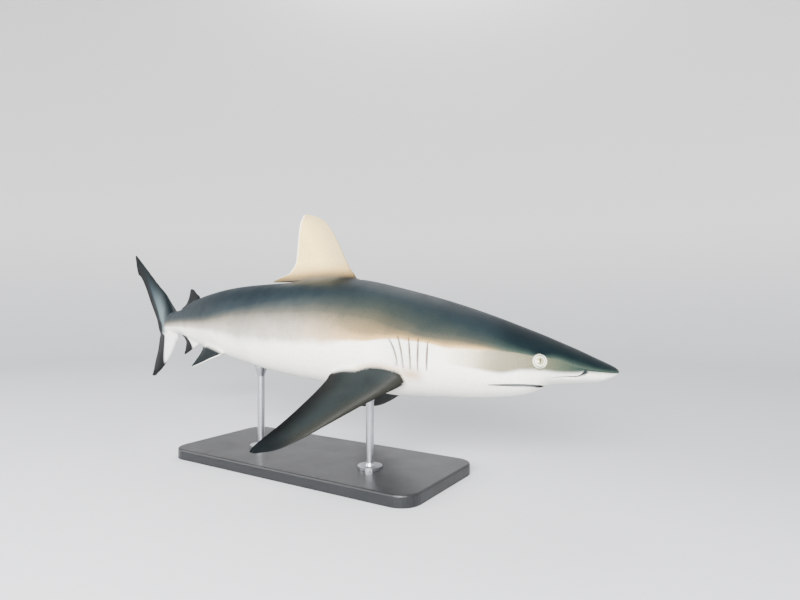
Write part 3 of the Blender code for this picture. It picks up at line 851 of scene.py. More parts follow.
class Palette:
    """Builds one material's nodes, a line for each step of the recipe."""

    def __init__(self, name: str) -> None:
        """Starts a material with its usual shader."""
        self.material = bpy.data.materials.new(name)
        self.material.use_nodes = True

    def node(self, kind: str, feeds: dict[str | int, Feed], **options: object) -> bpy.types.Node:
        """Adds a node.

        Args:
            kind: its type.
            feeds: what its sockets are given.
            options: its options.

        Returns:
            The node.
        """
        made = self.material.node_tree.nodes.new(f"ShaderNode{kind}")
        for key, value in options.items():
            setattr(made, key, value)
        self.feed(made, feeds)
        return made

    def feed(self, node: bpy.types.Node, feeds: dict[str | int, Feed]) -> None:
        """Gives a node's sockets their values.

        Args:
            node: the node.
            feeds: for each socket, another one to link, a paint colour or a fixed number.
        """
        for key, value in feeds.items():
            if isinstance(value, Socket):
                self.material.node_tree.links.new(value, node.inputs[key])
            else:
                node.inputs[key].default_value = tint(*value) if isinstance(value, tuple) else value

    def set(self, **values: Feed) -> None:
        """Sets the shader's own sockets, with _ for the spaces of their names."""
        shader = self.material.node_tree.nodes["Principled BSDF"]
        self.feed(shader, {key.replace("_", " "): value for key, value in values.items()})

    def place(self) -> Socket:
        """Returns the piece's own coordinates."""
        return self.node("TexCoord", {}).outputs["Object"]

    def stored(self, name: str) -> Socket:
        """Returns a stored vector."""
        return self.node("Attribute", {}, attribute_type="GEOMETRY", attribute_name=name).outputs["Vector"]

    def parts(self, vector: Socket) -> list[Socket]:
        """Returns the three numbers of a vector."""
        return list(self.node("SeparateXYZ", {0: vector}).outputs)

    def sum(self, operation: str, *values: Feed) -> Socket:
        """Returns the result of one step of arithmetic."""
        return self.node("Math", dict(enumerate((*values, 0.0)[:3])), operation=operation).outputs[0]

    def step(self, value: Feed, start: Feed, end: Feed, low: float = 0.0, high: float = 1.0) -> Socket:
        """Returns a soft step from low to high as the value goes from start to end."""
        feeds = {"Value": value, "From Min": start, "From Max": end, "To Min": low, "To Max": high}
        return self.node("MapRange", feeds, interpolation_type="SMOOTHSTEP").outputs["Result"]

    def mix(self, share: Feed, first: Feed, second: Feed, way: str = "MIX") -> Socket:
        """Returns two colours mixed by the share of the second."""
        return self.node("Mix", {0: share, 6: first, 7: second}, data_type="RGBA", blend_type=way).outputs[2]

    def past(self, mark: Feed, fade: Fade, under: Feed, way: str = "MIX") -> Socket:
        """Returns a colour over another one where a mark's number is past the fade."""
        return self.mix(self.step(mark, fade.start, fade.end, 0.0, fade.most), under, fade.colour, way)

    def before(self, mark: Feed, fade: Fade, under: Feed) -> Socket:
        """Returns a colour over another one where a mark's number is short of the fade."""
        return self.mix(self.step(mark, fade.start, fade.end), fade.colour, under)

    def noise(self, scale: float, detail: float, rough: float = 0.5, vector: Feed = None) -> Socket:
        """Returns a cloudy pattern between 0 and 1, in the piece's own coordinates if none are given."""
        feeds = {"Scale": scale, "Detail": detail, "Roughness": rough, "Vector": vector or self.place()}
        return self.node("TexNoise", feeds).outputs["Fac"]

    def cells(self, scale: float) -> Socket:
        """Returns how far each place is from the middle of its cell in a pattern of cells."""
        return self.node("TexVoronoi", {"Scale": scale, "Vector": self.place()}).outputs["Distance"]

    def bump(self, height: Socket, strength: float, distance: float, **under: Socket) -> Socket:
        """Returns a surface roughened by a pattern, over a Normal that is rough already if it is given."""
        feeds = {"Height": height, "Strength": strength, "Distance": distance, **under}
        return self.node("Bump", feeds).outputs["Normal"]

    def ramp(self, value: Feed, stops: Ramp) -> Socket:
        """Runs through several colours.

        Args:
            value: the number that it follows.
            stops: each number and the colour there.

        Returns:
            The colour.
        """
        first, last = stops[0][0], stops[-1][0]
        share = self.sum("DIVIDE", self.sum("SUBTRACT", value, first), last - first)
        made = self.node("ValToRGB", {"Fac": share})
        band = made.color_ramp
        while len(band.elements) < len(stops):
            band.elements.new(0.5)
        for element, (tone, colour) in zip(band.elements, stops):
            element.position = (tone - first) / (last - first)
            element.color = tint(*colour)
        return made.outputs["Color"]


@dataclass(frozen=True)
class SkinFinish:
    """Shark skin: slate back darkened towards the ridge by painted shade, warm flank band, white belly, a
    first dorsal painted pale cream as if strongly lit, painted shade in the slots and dark fin edges.
    """

    black: Tint = (2, 3, 4)
    blush: Tint = (206, 180, 150)
    rim: Tint = (226, 226, 204)
    # Painted shade in the recesses: slot for the insides of the gill slits, the hollow colour for the mouth
    # gap and the nostril fade for the darker nostrils.
    slot: Tint = (104, 76, 50)
    hollow_shade: Tint = (126, 130, 132)
    nostril: Fade = Fade((58, 68, 72), 0.055, 0.065)
    jaws_end: tuple[float, float] = (0.150, 0.140)
    clouds: tuple[float, float] = (7.0, 3.0)
    patches: tuple[float, float] = (38.0, 3.0)
    grains: tuple[float, float] = (420.0, 2.0)
    ripples: tuple[float, float] = (60.0, 3.0)
    scales: float = 900.0
    waver: tuple[float, float] = (0.7, -0.35)
    roughness: tuple[float, float] = (0.14, 0.44)
    speckle: Fade = Fade((150, 156, 158), 0.35, 0.75, 0.25)
    clouding: Fade = Fade((150, 160, 162), 0.40, 0.70, 0.30)
    snout_meets_head: tuple[float, float] = (0.100, 0.140)
    head_meets_rear: tuple[float, float] = (0.235, 0.370)
    cheek_reach: tuple[float, float] = (2.8, 1.0)
    # The first dorsal fin's pale cream is partly painted light, as if the fin were lit far brighter than the
    # back; its own colour is greyer. The front fade darkens its front edge: painted shade round the rounded
    # edge.
    cream: Tint = (240, 210, 138)
    cream_patch: Fade = Fade((222, 190, 122), 0.35, 0.75, 0.40)
    cream_front_shade: Fade = Fade((186, 164, 118), 0.0, 0.060)
    cream_foot: Fade = Fade((176, 144, 92), 0.03, 0.30)
    cream_rear: Fade = Fade((246, 236, 212), 0.001, 0.006)
    slate: Tint = (29, 34, 34)
    slate_patch: Fade = Fade((22, 25, 23), 0.40, 0.70, 0.4)
    slate_front: Fade = Fade((33, 33, 29), 0.0, 0.030)
    slate_rear: Fade = Fade((2, 3, 4), 0.002, 0.055)
    slate_tip: Fade = Fade((5, 10, 12), 0.70, 0.97)
    pelvic_inner: Tint = (15, 21, 23)
    pelvic_front: Fade = Fade((236, 236, 230), 0.0004, 0.0020)
    second_front: Fade = Fade((8, 12, 13), 0.030, 0.090)
    anal_front: Fade = Fade((236, 236, 230), 0.040, 0.052)
    tail_root: Tint = (92, 108, 112)
    tail_blade: Fade = Fade((22, 44, 52), 0.80, 0.90)
    tail_front: Fade = Fade((6, 15, 19), 0.0, 0.045)
    tail_low: Tint = (240, 240, 236)
    tail_low_tones: tuple[float, float] = (-1.5, -4.5)
    tail_margins: tuple[float, float] = (0.022, 0.074)
    tail_rear: Fade = Fade((2, 3, 4), 0.0, 0.014)
    # The tone ramps run from white to the darkest back: partly the shark's countershading, partly painted
    # shade, the darkest stops standing in for the top of the back lying out of the light.
    snout_tones: Ramp = (
        (0.0, (90, 98, 84)), (1.0, (82, 90, 78)), (2.0, (70, 80, 70)), (3.0, (54, 66, 58)),
        (4.0, (36, 48, 45)), (5.0, (15, 28, 31)), (6.0, (8, 19, 25)),
    )
    head_tones: Ramp = (
        (-0.5, (248, 245, 236)), (0.0, (236, 218, 182)), (1.0, (190, 154, 102)), (2.0, (122, 104, 72)),
        (3.0, (68, 66, 54)), (4.0, (45, 50, 46)), (5.0, (28, 38, 41)), (6.0, (13, 25, 31)),
    )
    rear_tones: Ramp = (
        (-0.5, (250, 248, 244)), (0.0, (212, 206, 196)), (1.0, (174, 167, 156)), (2.0, (122, 117, 106)),
        (3.0, (80, 79, 72)), (4.0, (54, 59, 58)), (5.0, (32, 41, 45)), (6.0, (15, 26, 32)),
    )
    cheek_tones: Ramp = (
        (0.015, (20, 34, 36)), (0.032, (34, 48, 46)), (0.047, (50, 62, 54)), (0.061, (72, 80, 66)),
        (0.079, (98, 97, 76)), (0.095, (118, 113, 91)), (0.116, (127, 121, 100)), (0.128, (148, 140, 117)),
        (0.145, (210, 200, 174)), (0.170, (246, 240, 222)),
    )

    def make(self) -> bpy.types.Material:
        """Builds the material from the marks that the skin stores on its points.

        Returns:
            The material.
        """
        p = Palette("shark_skin")
        station, tone, cheek = p.parts(p.stored("coat_marks"))
        dorsal, pectoral, pelvic = p.parts(p.stored("fin_marks"))
        second, anal, tail = p.parts(p.stored("rear_fin_marks"))
        rear, front, out = p.parts(p.stored("fin_edges"))
        inside, rim, blush = p.parts(p.stored("slot_shade_and_details"))
        patch = p.noise(*self.patches)
        colour = self._body(p, station, p.sum("ADD", tone, p.sum("MULTIPLY_ADD", patch, *self.waver)), cheek)
        colour = p.mix(blush, colour, self.blush)
        cream = p.before(front, self.cream_front_shade, p.past(patch, self.cream_patch, self.cream))
        cream = p.before(rear, self.cream_rear, p.before(out, self.cream_foot, cream))
        slate = p.before(front, self.slate_front, p.past(patch, self.slate_patch, self.slate))
        slate = p.past(out, self.slate_tip, p.before(rear, self.slate_rear, slate))
        for mark, finish in (
            (dorsal, cream),
            (pectoral, slate),
            (pelvic, p.before(front, self.pelvic_front, self.pelvic_inner)),
            (second, p.past(rear, self.second_front, self.black)),
            (anal, p.past(rear, self.anal_front, self.black)),
            (tail, self._tail(p, rear, front, tone, station)),
            (rim, self.rim),
            # Painted shade in the gill slits, along their lips and in the spot behind them.
            (inside, self.slot),
        ):
            colour = p.mix(mark, colour, finish)
        # Painted shade in the mouth gap and the nostrils, darkest in the nostrils.
        front_slot_shade = p.sum("MULTIPLY", inside, p.step(station, *self.jaws_end))
        colour = p.mix(front_slot_shade, colour, p.before(station, self.nostril, self.hollow_shade))
        pebbles = p.bump(p.cells(self.scales), 0.10, 0.0004)
        p.set(
            Base_Color=p.past(p.noise(*self.grains), self.speckle, colour, "MULTIPLY"),
            Roughness=p.sum("MULTIPLY_ADD", patch, *self.roughness),
            IOR=1.18,
            Specular_IOR_Level=0.5,
            Normal=p.bump(p.noise(*self.ripples), 0.06, 0.002, Normal=pebbles),
        )
        return p.material

    def _body(self, p: Palette, station: Socket, tone: Socket, cheek: Socket) -> Socket:
        """Mixes the back, the flank band, the cheek and the belly.

        Args:
            p: the palette.
            station: the station of each place.
            tone: how dark the coat is there.
            cheek: how much of the cheek shows there.

        Returns:
            The body's colour.
        """
        tones = self.snout_tones, self.head_tones, self.rear_tones
        snout, head, rear = (p.ramp(tone, stops) for stops in tones)
        coat = p.mix(p.step(station, *self.snout_meets_head), snout, head)
        coat = p.mix(p.step(station, *self.head_meets_rear), coat, rear)
        reach = p.step(station, *self.snout_meets_head, *self.cheek_reach)
        under_line = p.step(tone, reach, p.sum("SUBTRACT", reach, 1.0))
        coat = p.mix(p.sum("MULTIPLY", cheek, under_line), coat, p.ramp(station, self.cheek_tones))
        bare = p.sum("MULTIPLY", p.sum("SUBTRACT", 1.0, cheek), p.step(tone, 1.0, 0.0))
        coat = p.mix(bare, coat, self.head_tones[0][1])
        return p.past(p.noise(*self.clouds), self.clouding, coat, "MULTIPLY")

    def _tail(self, p: Palette, rear: Socket, front: Socket, tone: Socket, station: Socket) -> Socket:
        """Mixes the tail fin: dark front, pale middle, white lower lobe and a broad black rear margin.

        Args:
            p: the palette.
            rear: how far each place is from the fin's rear edges.
            front: how far it is from the front edges.
            tone: the coat's tone, which falls away down the lower lobe.
            station: the station of each place.

        Returns:
            The fin's colour.
        """
        blade = p.before(front, self.tail_front, p.past(station, self.tail_blade, self.tail_root))
        low = p.step(tone, *self.tail_low_tones)
        shaded = p.mix(low, blade, self.tail_low)
        margin = p.step(low, 0.0, 1.0, *self.tail_margins)
        return p.before(p.sum("SUBTRACT", rear, margin), self.tail_rear, shaded)


@dataclass(frozen=True)
class EyeFinish:
    """The pale eye with its upright slit pupil, read from places on the ball. The pupil is partly painted
    eyeshine.
    """

    iris: Tint = (172, 172, 132)
    streaks: tuple[float, float, float] = (520.0, 3.0, 0.6)
    shade: Fade = Fade((128, 124, 80), 0.35, 0.70)
    rim: Fade = Fade((224, 224, 202), 0.0052, 0.0060)
    limbus: Fade = Fade((100, 98, 74), 0.0074, 0.0082)
    # The pupil's olive is partly painted eyeshine, light thrown back from inside the eye; the pupil itself is
    # dark.
    pupil: Fade = Fade((62, 58, 26), 0.75, 1.25)
    pupil_size: tuple[float, float] = (0.0013, 0.0045)

    def make(self) -> bpy.types.Material:
        """Builds the iris and pupil material.

        Returns:
            The material.
        """
        p = Palette("shark_iris")
        across, up, away = p.parts(p.stored("iris_place"))
        colour = p.past(p.noise(*self.streaks), self.shade, self.iris)
        colour = p.past(away, self.rim, colour)
        colour = p.past(away, self.limbus, colour)
        shares = [p.sum("DIVIDE", way, size) for way, size in zip((across, up), self.pupil_size)]
        lens = p.sum("ADD", *(p.sum("MULTIPLY", share, share) for share in shares))
        seen = p.before(lens, self.pupil, colour)
        p.set(Base_Color=seen, Roughness=0.32, Specular_IOR_Level=0.5, Coat_Weight=0.6, Coat_Roughness=0.05)
        return p.material


@dataclass(frozen=True)
class PaintFinish:
    """Satin charcoal paint on the stand's base."""

    coat: Tint = (24, 25, 27)
    dust: Fade = Fade((40, 41, 43), 0.45, 0.75, 0.22)
    roughness: tuple[float, float] = (0.16, 0.34)

    def make(self) -> bpy.types.Material:
        """Builds the paint material.

        Returns:
            The material.
        """
        p = Palette("satin_paint")
        p.set(
            Base_Color=p.past(p.noise(9.0, 4.0), self.dust, self.coat),
            Specular_IOR_Level=0.35,
            Roughness=p.sum("MULTIPLY_ADD", p.noise(22.0, 3.0), *self.roughness),
            Normal=p.bump(p.noise(900.0, 2.0), 0.08, 0.0003),
        )
        return p.material


@dataclass(frozen=True)
class SteelFinish:
    """Brushed steel on the stand's rods, with its turning marks round them."""

    metal: Tint = (186, 188, 192)
    mark: Tint = (150, 152, 156)
    stretch: tuple[float, float, float] = (4.0, 4.0, 900.0)
    roughness: tuple[float, float] = (0.22, 0.20)

    def make(self) -> bpy.types.Material:
        """Builds the steel material.

        Returns:
            The material.
        """
        p = Palette("brushed_steel")
        turned = p.node("Mapping", {"Vector": p.place()})
        turned.inputs["Scale"].default_value = self.stretch
        lines = p.noise(1.0, 3.0, 0.6, turned.outputs[0])
        p.set(
            Base_Color=p.mix(lines, self.metal, self.mark),
            Metallic=1.0,
            Roughness=p.sum("MULTIPLY_ADD", lines, *self.roughness),
            Normal=p.bump(lines, 0.10, 0.0003),
        )
        return p.material


@dataclass(frozen=True)
class Spot:
    """A soft round mark: its place, how far it reaches along and up, and how flat it is lengthwise."""

    station: float
    level: float
    long: float
    tall: float
    power: int = 2

    def share(self, s: Array, z: Array) -> Array:
        """Returns how much of the mark shows at each place."""
        return np.exp(-(((s - self.station) / self.long) ** self.power) - ((z - self.level) / self.tall) ** 2)


@dataclass(frozen=True)
class CoatMarks:
    """Where the coat's tones meet on the flank: rows of a station and the levels of six lines over it.

    The lines run from where the white underside ends to where the back is darkest. The tones are partly the
    shark's own countershading and partly painted shade: the broad grading up the flank and the back darkening
    on towards the ridge stand in for the top of the body lying out of the light. The shoulder line is the
    upper edge of the slate patch over a pectoral's root.
    """

    rows: tuple[tuple[float, ...], ...] = (
        (0.000, -0.0015, -0.0010, -0.0005, 0.0000, 0.0010, 0.0025),
        (0.017, -0.0008, -0.0003, 0.0002, 0.0008, 0.0018, 0.0032),
        (0.032, 0.0000, 0.0005, 0.0012, 0.0020, 0.0040, 0.0064),
        (0.047, 0.0012, 0.0022, 0.0034, 0.0048, 0.0072, 0.0102),
        (0.061, 0.0052, 0.0067, 0.0082, 0.0096, 0.0115, 0.0138),
        (0.079, 0.0072, 0.0088, 0.0102, 0.0116, 0.0138, 0.0162),
        (0.094, 0.0085, 0.0098, 0.0110, 0.0126, 0.0150, 0.0178),
        (0.116, 0.0100, 0.0115, 0.0128, 0.0147, 0.0178, 0.0240),
        (0.139, 0.0090, 0.0128, 0.0152, 0.0174, 0.0212, 0.0310),
        (0.163, 0.0085, 0.0122, 0.0152, 0.0186, 0.0242, 0.0370),
        (0.188, 0.0115, 0.0144, 0.0166, 0.0196, 0.0260, 0.0440),
        (0.212, 0.0118, 0.0150, 0.0186, 0.0240, 0.0350, 0.0510),
        (0.255, 0.0045, 0.0085, 0.0165, 0.0330, 0.0435, 0.0580),
        (0.302, -0.0060, 0.0060, 0.0235, 0.0340, 0.0435, 0.0550),
        (0.360, -0.0130, -0.0010, 0.0215, 0.0300, 0.0375, 0.0465),
        (0.435, -0.0190, -0.0020, 0.0160, 0.0222, 0.0268, 0.0322),
        (0.550, -0.0110, -0.0020, 0.0036, 0.0068, 0.0098, 0.0142),
        (0.650, -0.0090, -0.0040, 0.0005, 0.0032, 0.0058, 0.0090),
        (0.745, -0.0070, -0.0040, -0.0008, 0.0018, 0.0044, 0.0075),
    )
    cheek_ends: Knots = (
        (0.0, -0.0010), (0.032, -0.0012), (0.047, -0.0032), (0.061, -0.0038), (0.079, -0.0030),
        (0.094, -0.0042), (0.116, -0.0095), (0.150, -0.0070),
    )
    cheek_soft: float = 0.0055
    cheek_fade: tuple[float, float] = (0.185, 0.030)
    shoulder: Knots = (
        (0.2040, -0.0400), (0.2055, -0.0330), (0.2070, -0.0278), (0.2090, -0.0230), (0.2115, -0.0200),
        (0.2153, -0.0190), (0.2206, -0.0186), (0.2311, -0.0176), (0.2395, -0.0182), (0.2479, -0.0204),
        (0.2542, -0.0230), (0.2616, -0.0266), (0.2679, -0.0283), (0.2815, -0.0306), (0.2931, -0.0325),
        (0.3100, -0.0400),
    )
    shoulder_soft: float = 0.0035
    edge_soft: float = 0.0030
    painted_ridge_shade_soft: float = 0.015
    # Painted shadow over the eye's upper rim, where the brow shades it.
    painted_socket_shadow: Spot = Spot(0.0800, 0.0135, 0.0085, 0.0034)
    painted_socket_shadow_tone: float = 1.5
    # Painted light on the top of the back under the first dorsal fin: the tone there is capped and lowered to
    # lift the crease's shade at the fin's root.
    painted_root_light: tuple[float, float, float, float] = (0.305, 0.02, 0.420, 0.03)
    painted_root_light_reach: float = 0.0065
    painted_root_light_tones: tuple[float, float] = (6.0, 3.2)
    throat: Spot = Spot(0.2000, -0.0212, 0.0110, 0.0068, 4)
    rosy: tuple[float, float, float, float] = (0.2040, 0.004, 0.2700, 0.015)
    rosy_over: float = 0.0015
    rosy_reach: float = 0.0028
    rosy_share: float = 0.9
    gill_spot: Spot = Spot(0.2139, -0.0122, 0.0016, 0.0016)

    def tone(self, s: Array, z: Array) -> Array:
        """Gives how dark the coat is: the number of lines that are under a place, and over the last line
        painted shade that goes on darkening the back towards the ridge.

        Args:
            s: the station of each place.
            z: its level.

        Returns:
            The tone: 0 where white ends, 5 at the dark line, and on up over it as painted shade.
        """
        stations, *levels = zip(*self.rows)
        lines = [smooth_line(stations, level)(s) for level in levels]
        tone = np.minimum((z - lines[0]) / self.edge_soft, 0.0)
        for low, high in zip(lines, lines[1:]):
            tone = tone + np.clip((z - low) / np.maximum(high - low, 1e-4), 0.0, 1.0)
        return tone + np.maximum(z - lines[-1], 0.0) / self.painted_ridge_shade_soft

    def cheek(self, s: Array, z: Array) -> Array:
        """Returns how much of the greyish cheek shows: between eye and gills, under the flank's lines."""
        end, fall = self.cheek_fade
        return ease((z - knot_line(self.cheek_ends)(s)) / self.cheek_soft + 0.5) * ease((end - s) / fall)

    def shaded(self, s: Array, z: Array, back: Array) -> Array:
        """Adds painted shade over the eye to the coat's tone, and painted light along the root of the first
        dorsal fin, lifting the shade of the crease there.

        Args:
            s: the station of each place.
            z: its level.
            back: the level of the back over it.

        Returns:
            The tone.
        """
        # Painted light along the first dorsal fin's root, against the shade of the crease.
        painted_root_light = hill(z, back, self.painted_root_light_reach) * between(s, *self.painted_root_light)
        tone = self.tone(s, z) + self.painted_socket_shadow_tone * self.painted_socket_shadow.share(s, z)
        most, lift = self.painted_root_light_tones
        return np.where(painted_root_light > 0.01, np.minimum(tone, most) - lift * painted_root_light, tone)

    def blush(self, s: Array, z: Array) -> Array:
        """Returns how rosy each place is: under the gills and along the shoulder line."""
        off = hill(z, knot_line(self.shoulder)(s) + self.rosy_over, self.rosy_reach)
        return np.maximum(self.throat.share(s, z), self.rosy_share * between(s, *self.rosy) * off)


@dataclass
class SharkSkin:
    """The one skin over all of the shark's flesh: body, fins, gills, mouth and nostrils."""

    pose: SwimmingPose
    form: BodyForm = field(default_factory=BodyForm)
    gills: GillSlits = field(default_factory=GillSlits)
    mouth: Mouth = field(default_factory=Mouth)
    eye: EyePlace = field(default_factory=EyePlace)
    nostril: Nostril = field(default_factory=Nostril)
    tail_fin: TailFin = field(default_factory=TailFin)
    marks: CoatMarks = field(default_factory=CoatMarks)
    around: int = 132
    closer_points: tuple[float, float, float] = (0.30, 0.45, 0.25)
    spans: tuple[tuple[float, int], ...] = (
        (0.060, 30), (0.130, 70), (0.178, 26), (0.222, 64), (0.300, 26), (0.735, 112), (0.830, 48),
        (0.979, 62),
    )
    nose_rings: int = 26
    nose_ends: float = 0.02
    pectoral_root: tuple[float, float] = (0.2093, -0.0290)
    pectoral_incidence: float = 5.0
    pectoral_droops: tuple[float, float] = (46.0, 38.5)
    pelvic_root: tuple[float, float] = (0.4930, -0.0330)
    pelvic_droop: float = 50.0
    behind_root: float = 0.02
    fin_taper: float = 0.88
    fin_edge: float = 0.09
    fin_soft_ends: tuple[float, float] = (0.006, 0.02)
    narrow_tip: float = 1.6
    pits: tuple[tuple[float, float, float], ...] = ((0.7405, 1.0, 0.0022), (0.7165, -1.0, 0.0012))
    pit_length: float = 0.0035
    pit_power: int = 6
    rim_offset: float = 0.0004
    rim_half: float = 0.0007
    rim_rise: float = 0.0001
    socket_gap: float = 0.0002
    blade_around: int = 28
    blade_point: float = 1.4
    double_gap: float = 0.00006
    thin_face: float = 0.00002
    fillets: tuple[tuple[str, float, int], ...] = (("fin", 0.014, 26), ("lid", 0.0022, 5))
    fillet_share: float = 0.7
    fillet_steps: int = 40
    crease_angle: float = 38.0
    flesh_nodes: tuple[str, ...] = (
        "head", "lower_jaw", "trunk", "tail", "first_dorsal_fin", "second_dorsal_fin", "anal_fin",
        "pectoral_fin_right", "pectoral_fin_left", "pelvic_fin_right", "pelvic_fin_left",
        "caudal_fin_upper_lobe", "caudal_fin_lower_lobe",
    )

    def build(self) -> Piece:
        """Models the skin, dresses it and puts it over the flesh nodes.

        Returns:
            The finished piece.
        """
        marks = {name: bpy.data.materials.new(name) for name in ("flesh", "fin", "lid")}
        skin, fins, lids = self._body(), self._fins(), [self._lid(side) for side in Side]
        for name, pieces in (("flesh", [skin]), ("fin", fins), ("lid", lids)):
            for piece in pieces:
                piece.data.materials.append(marks[name])
        Shop.combine(skin, fins + lids, Joining.GROWN)
        self._tidy(skin)
        self._fillet(skin)
        Shop.combine(skin, self._cutters(), Joining.CUT)
        self._tidy(skin)
        SkinMarks(self, skin).store()
        skin.data.materials.clear()
        skin.data.materials.append(SkinFinish().make())
        skin.data.polygons.foreach_set("material_index", np.zeros(len(skin.data.polygons), np.int32))
        for mark in marks.values():
            bpy.data.materials.remove(mark)
        Shop.pick(skin)
        bpy.ops.object.shade_smooth_by_angle(angle=math.radians(self.crease_angle))
        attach(skin, "root")
        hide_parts(*self.flesh_nodes)
        return skin

    def _stations(self) -> Array:
        """Spaces the body's rings, closest where the finest forms are.

        Returns:
            The station of each ring.
        """
        found = [np.linspace(0.0, math.sqrt(self.nose_ends), self.nose_rings + 1) ** 2]
        start = self.nose_ends
        for end, count in self.spans:
            found.append(np.linspace(start, end, count + 1)[1:])
            start = end
        return np.concatenate(found)

    def _turns(self) -> Array:
        """Spaces a ring's points, closest together low on the flanks.

        Returns:
            The angle of each point.
        """
        share, level, soft = self.closer_points
        fine = np.linspace(-math.pi / 2, 3 * math.pi / 2, 4001)
        density = 1.0 - share * np.tanh((np.sin(fine) - level) / soft)
        total = np.concatenate([[0.0], np.cumsum((density[1:] + density[:-1]) / 2)])
        return np.interp(np.arange(self.around) / self.around * total[-1], total, fine)

    def surface(self, s: Array, turn: Array, relief: bool = True) -> Array:
        """Gives real places on the body's skin.

        Args:
            s: the station of each point.
            turn: the angle of each point round its section.
            relief: whether gills, lips and orbits stand out.

        Returns:
            The places.
        """
        y, z = self.form.section(s, turn)
        if relief:
            wide = np.maximum(self.form.width(s), 1e-3)
            tall = np.maximum((self.form.back(s) - self.form.belly(s)) / 2, 1e-3)
            normal = np.stack([y / wide**2, (z - self.form.middle(s)) / tall**2], axis=1)
            normal /= np.linalg.norm(normal, axis=1)[:, None] + 1e-9
            height = sum(part.relief(s, z) for part in (self.gills, self.mouth, self.eye, self.nostril))
            height = height + self._pits(s, turn)
            y, z = y + normal[:, 0] * height, z + normal[:, 1] * height
        return self.pose.place(s, y, z)

    def _pits(self, s: Array, turn: Array) -> Array:
        """Sinks the small pits over and under the root of the tail fin.

        Args:
            s: the station of each point.
            turn: the angle of each point round its section.

        Returns:
            How far each point stands out, less than 0 in a pit.
        """
        return sum(
            -depth * hill(s, station, self.pit_length) * np.clip(way * np.sin(turn), 0, 1) ** self.pit_power
            for station, way, depth in self.pits
        )

    def _body(self) -> Piece:
        """Models snout to tip of the upper tail lobe as one closed form.

        Returns:
            The body.
        """
        stations, turns = self._stations(), self._turns()
        ring, number = Shop.ball(len(stations) - 1, self.around)
        s, turn = stations[ring], turns[number]
        lobe = s > self.form.peduncle_ends
        found = np.empty((len(s), 3))
        found[~lobe] = self.surface(s[~lobe], turn[~lobe])
        found[lobe] = self._upper_lobe(s[lobe], turn[lobe])
        return Shop.moulded("shark_skin", found)

    def _upper_lobe(self, s: Array, turn: Array) -> Array:
        """Gives real places on the upper tail lobe, which flattens out of the round body.

        Args:
            s: the station of each point.
            turn: the angle of each point round its section.

        Returns:
            The places.
        """
        tail, ends = self.tail_fin, self.form.peduncle_ends
        top = knot_line(tail.upper_front)(s)
        bottom = knot_line(tail.upper_rear)(s) - tail.hidden_rear * between(s, *tail.hidden_span)
        level = (top + bottom) / 2 + (top - bottom) / 2 * np.sin(turn)
        flat = tail.half_thickness(s, level) * closed_edge(turn + math.pi / 2, tail.upper_edge)
        flat = flat * tail.thinned(level)
        oval = float(self.form.width(ends)) * np.cos(turn)
        round_part = 1 - ease((s - ends) / tail.flattens_over)
        return self.pose.place(s, round_part * oval + (1 - round_part) * flat, level)

    def _fin_rows(self, plan: FinPlan) -> tuple[Array, Array, Array]:
        """Adds a ball and lays its points out as a fin in its own plane.

        Args:
            plan: the fin's outline.

        Returns:
            The place along the chord, the distance out and the offset from the plane of each point.
        """
        ring, number = Shop.ball(plan.rings, plan.around)
        row, turn = plan.rows()[ring], round_ring(number, plan.around)
        start, end = plan.edges(row)
        root_start, root_end = plan.edges(np.zeros(1))
        chord = (1 - np.cos(turn)) / 2
        outwards = np.maximum(0.0, row) / plan.span
        full = np.minimum(1.0, (end - start) / (root_end - root_start) * self.narrow_tip)
        half = plan.thickness / 2 * (1 - self.fin_taper * outwards) * full
        at = start + (end - start) * chord
        flare = plan.root_flare * np.exp(-np.maximum(row, 0) / plan.flare_reach)
        soft_front, soft_rear = self.fin_soft_ends
        flare = flare * ease((root_end - at) / soft_rear) * ease((at - start) / soft_front)
        thick = np.maximum(half * foil(chord), self.tail_fin.thin_edge) + flare * (row < plan.span)
        return at, row, thick * closed_edge(turn, self.fin_edge)

    def _midline_fin(self, name: str, plan: FinPlan, line: Line, way: float) -> Piece:
        """Models a fin that stands on the midline, over the back (1) or under the belly (-1)."""
        at, row, thick = self._fin_rows(plan)
        return Shop.moulded(name, self.pose.place(at, thick, line(at) + way * row))

    def fin_frame(self, root: tuple[float, float], droop: float, incidence: float, side: Side) -> list[Array]:
        """Gives the place and directions of a paired fin.

        Args:
            root: station and level where its front edge leaves the flank.
            droop: how far the fin points down, in degrees.
            incidence: how far its rear edge is lowered, in degrees.
            side: the side it is on.

        Returns:
            The root's place, and the directions back, out and off the fin's upper face.
        """
        s, z = np.array([root[0]]), np.array([root[1]])
        y = self.form.section(s, self.form.turn_at(s, z, side))[0]
        origin = self.pose.place(s, y, z)[0]
        _, ahead, left, up = (vectors[0] for vectors in self.pose.along(root[0] + self.behind_root))
        tilt, fall = math.radians(incidence), math.radians(droop)
        back = -math.cos(tilt) * ahead - math.sin(tilt) * up
        fin_up = math.cos(tilt) * up - math.sin(tilt) * ahead
        out = math.cos(fall) * side.value * left - math.sin(fall) * fin_up
        return [origin, back, out, np.cross(back, out) * side.value]

    def _paired_fin(self, name: str, plan: FinPlan, frame: list[Array]) -> Piece:
        """Models a fin that leaves the flank."""
        flat = sum(np.outer(part, way) for part, way in zip(self._fin_rows(plan), frame[1:]))
        return Shop.moulded(name, frame[0] + self.pose.total_length * flat)

    def paired_frames(self) -> list[tuple[str, FinPlan, list[Array]]]:
        """Sets out the paired fins.

        Returns:
            The name, the outline and the frame of each.
        """
        found = []
        for side, droop in zip(Side, self.pectoral_droops):
            frame = self.fin_frame(self.pectoral_root, droop, self.pectoral_incidence, side)
            found.append(("pectoral", PECTORAL, frame))
            found.append(("pelvic", PELVIC, self.fin_frame(self.pelvic_root, self.pelvic_droop, 0.0, side)))
        return found

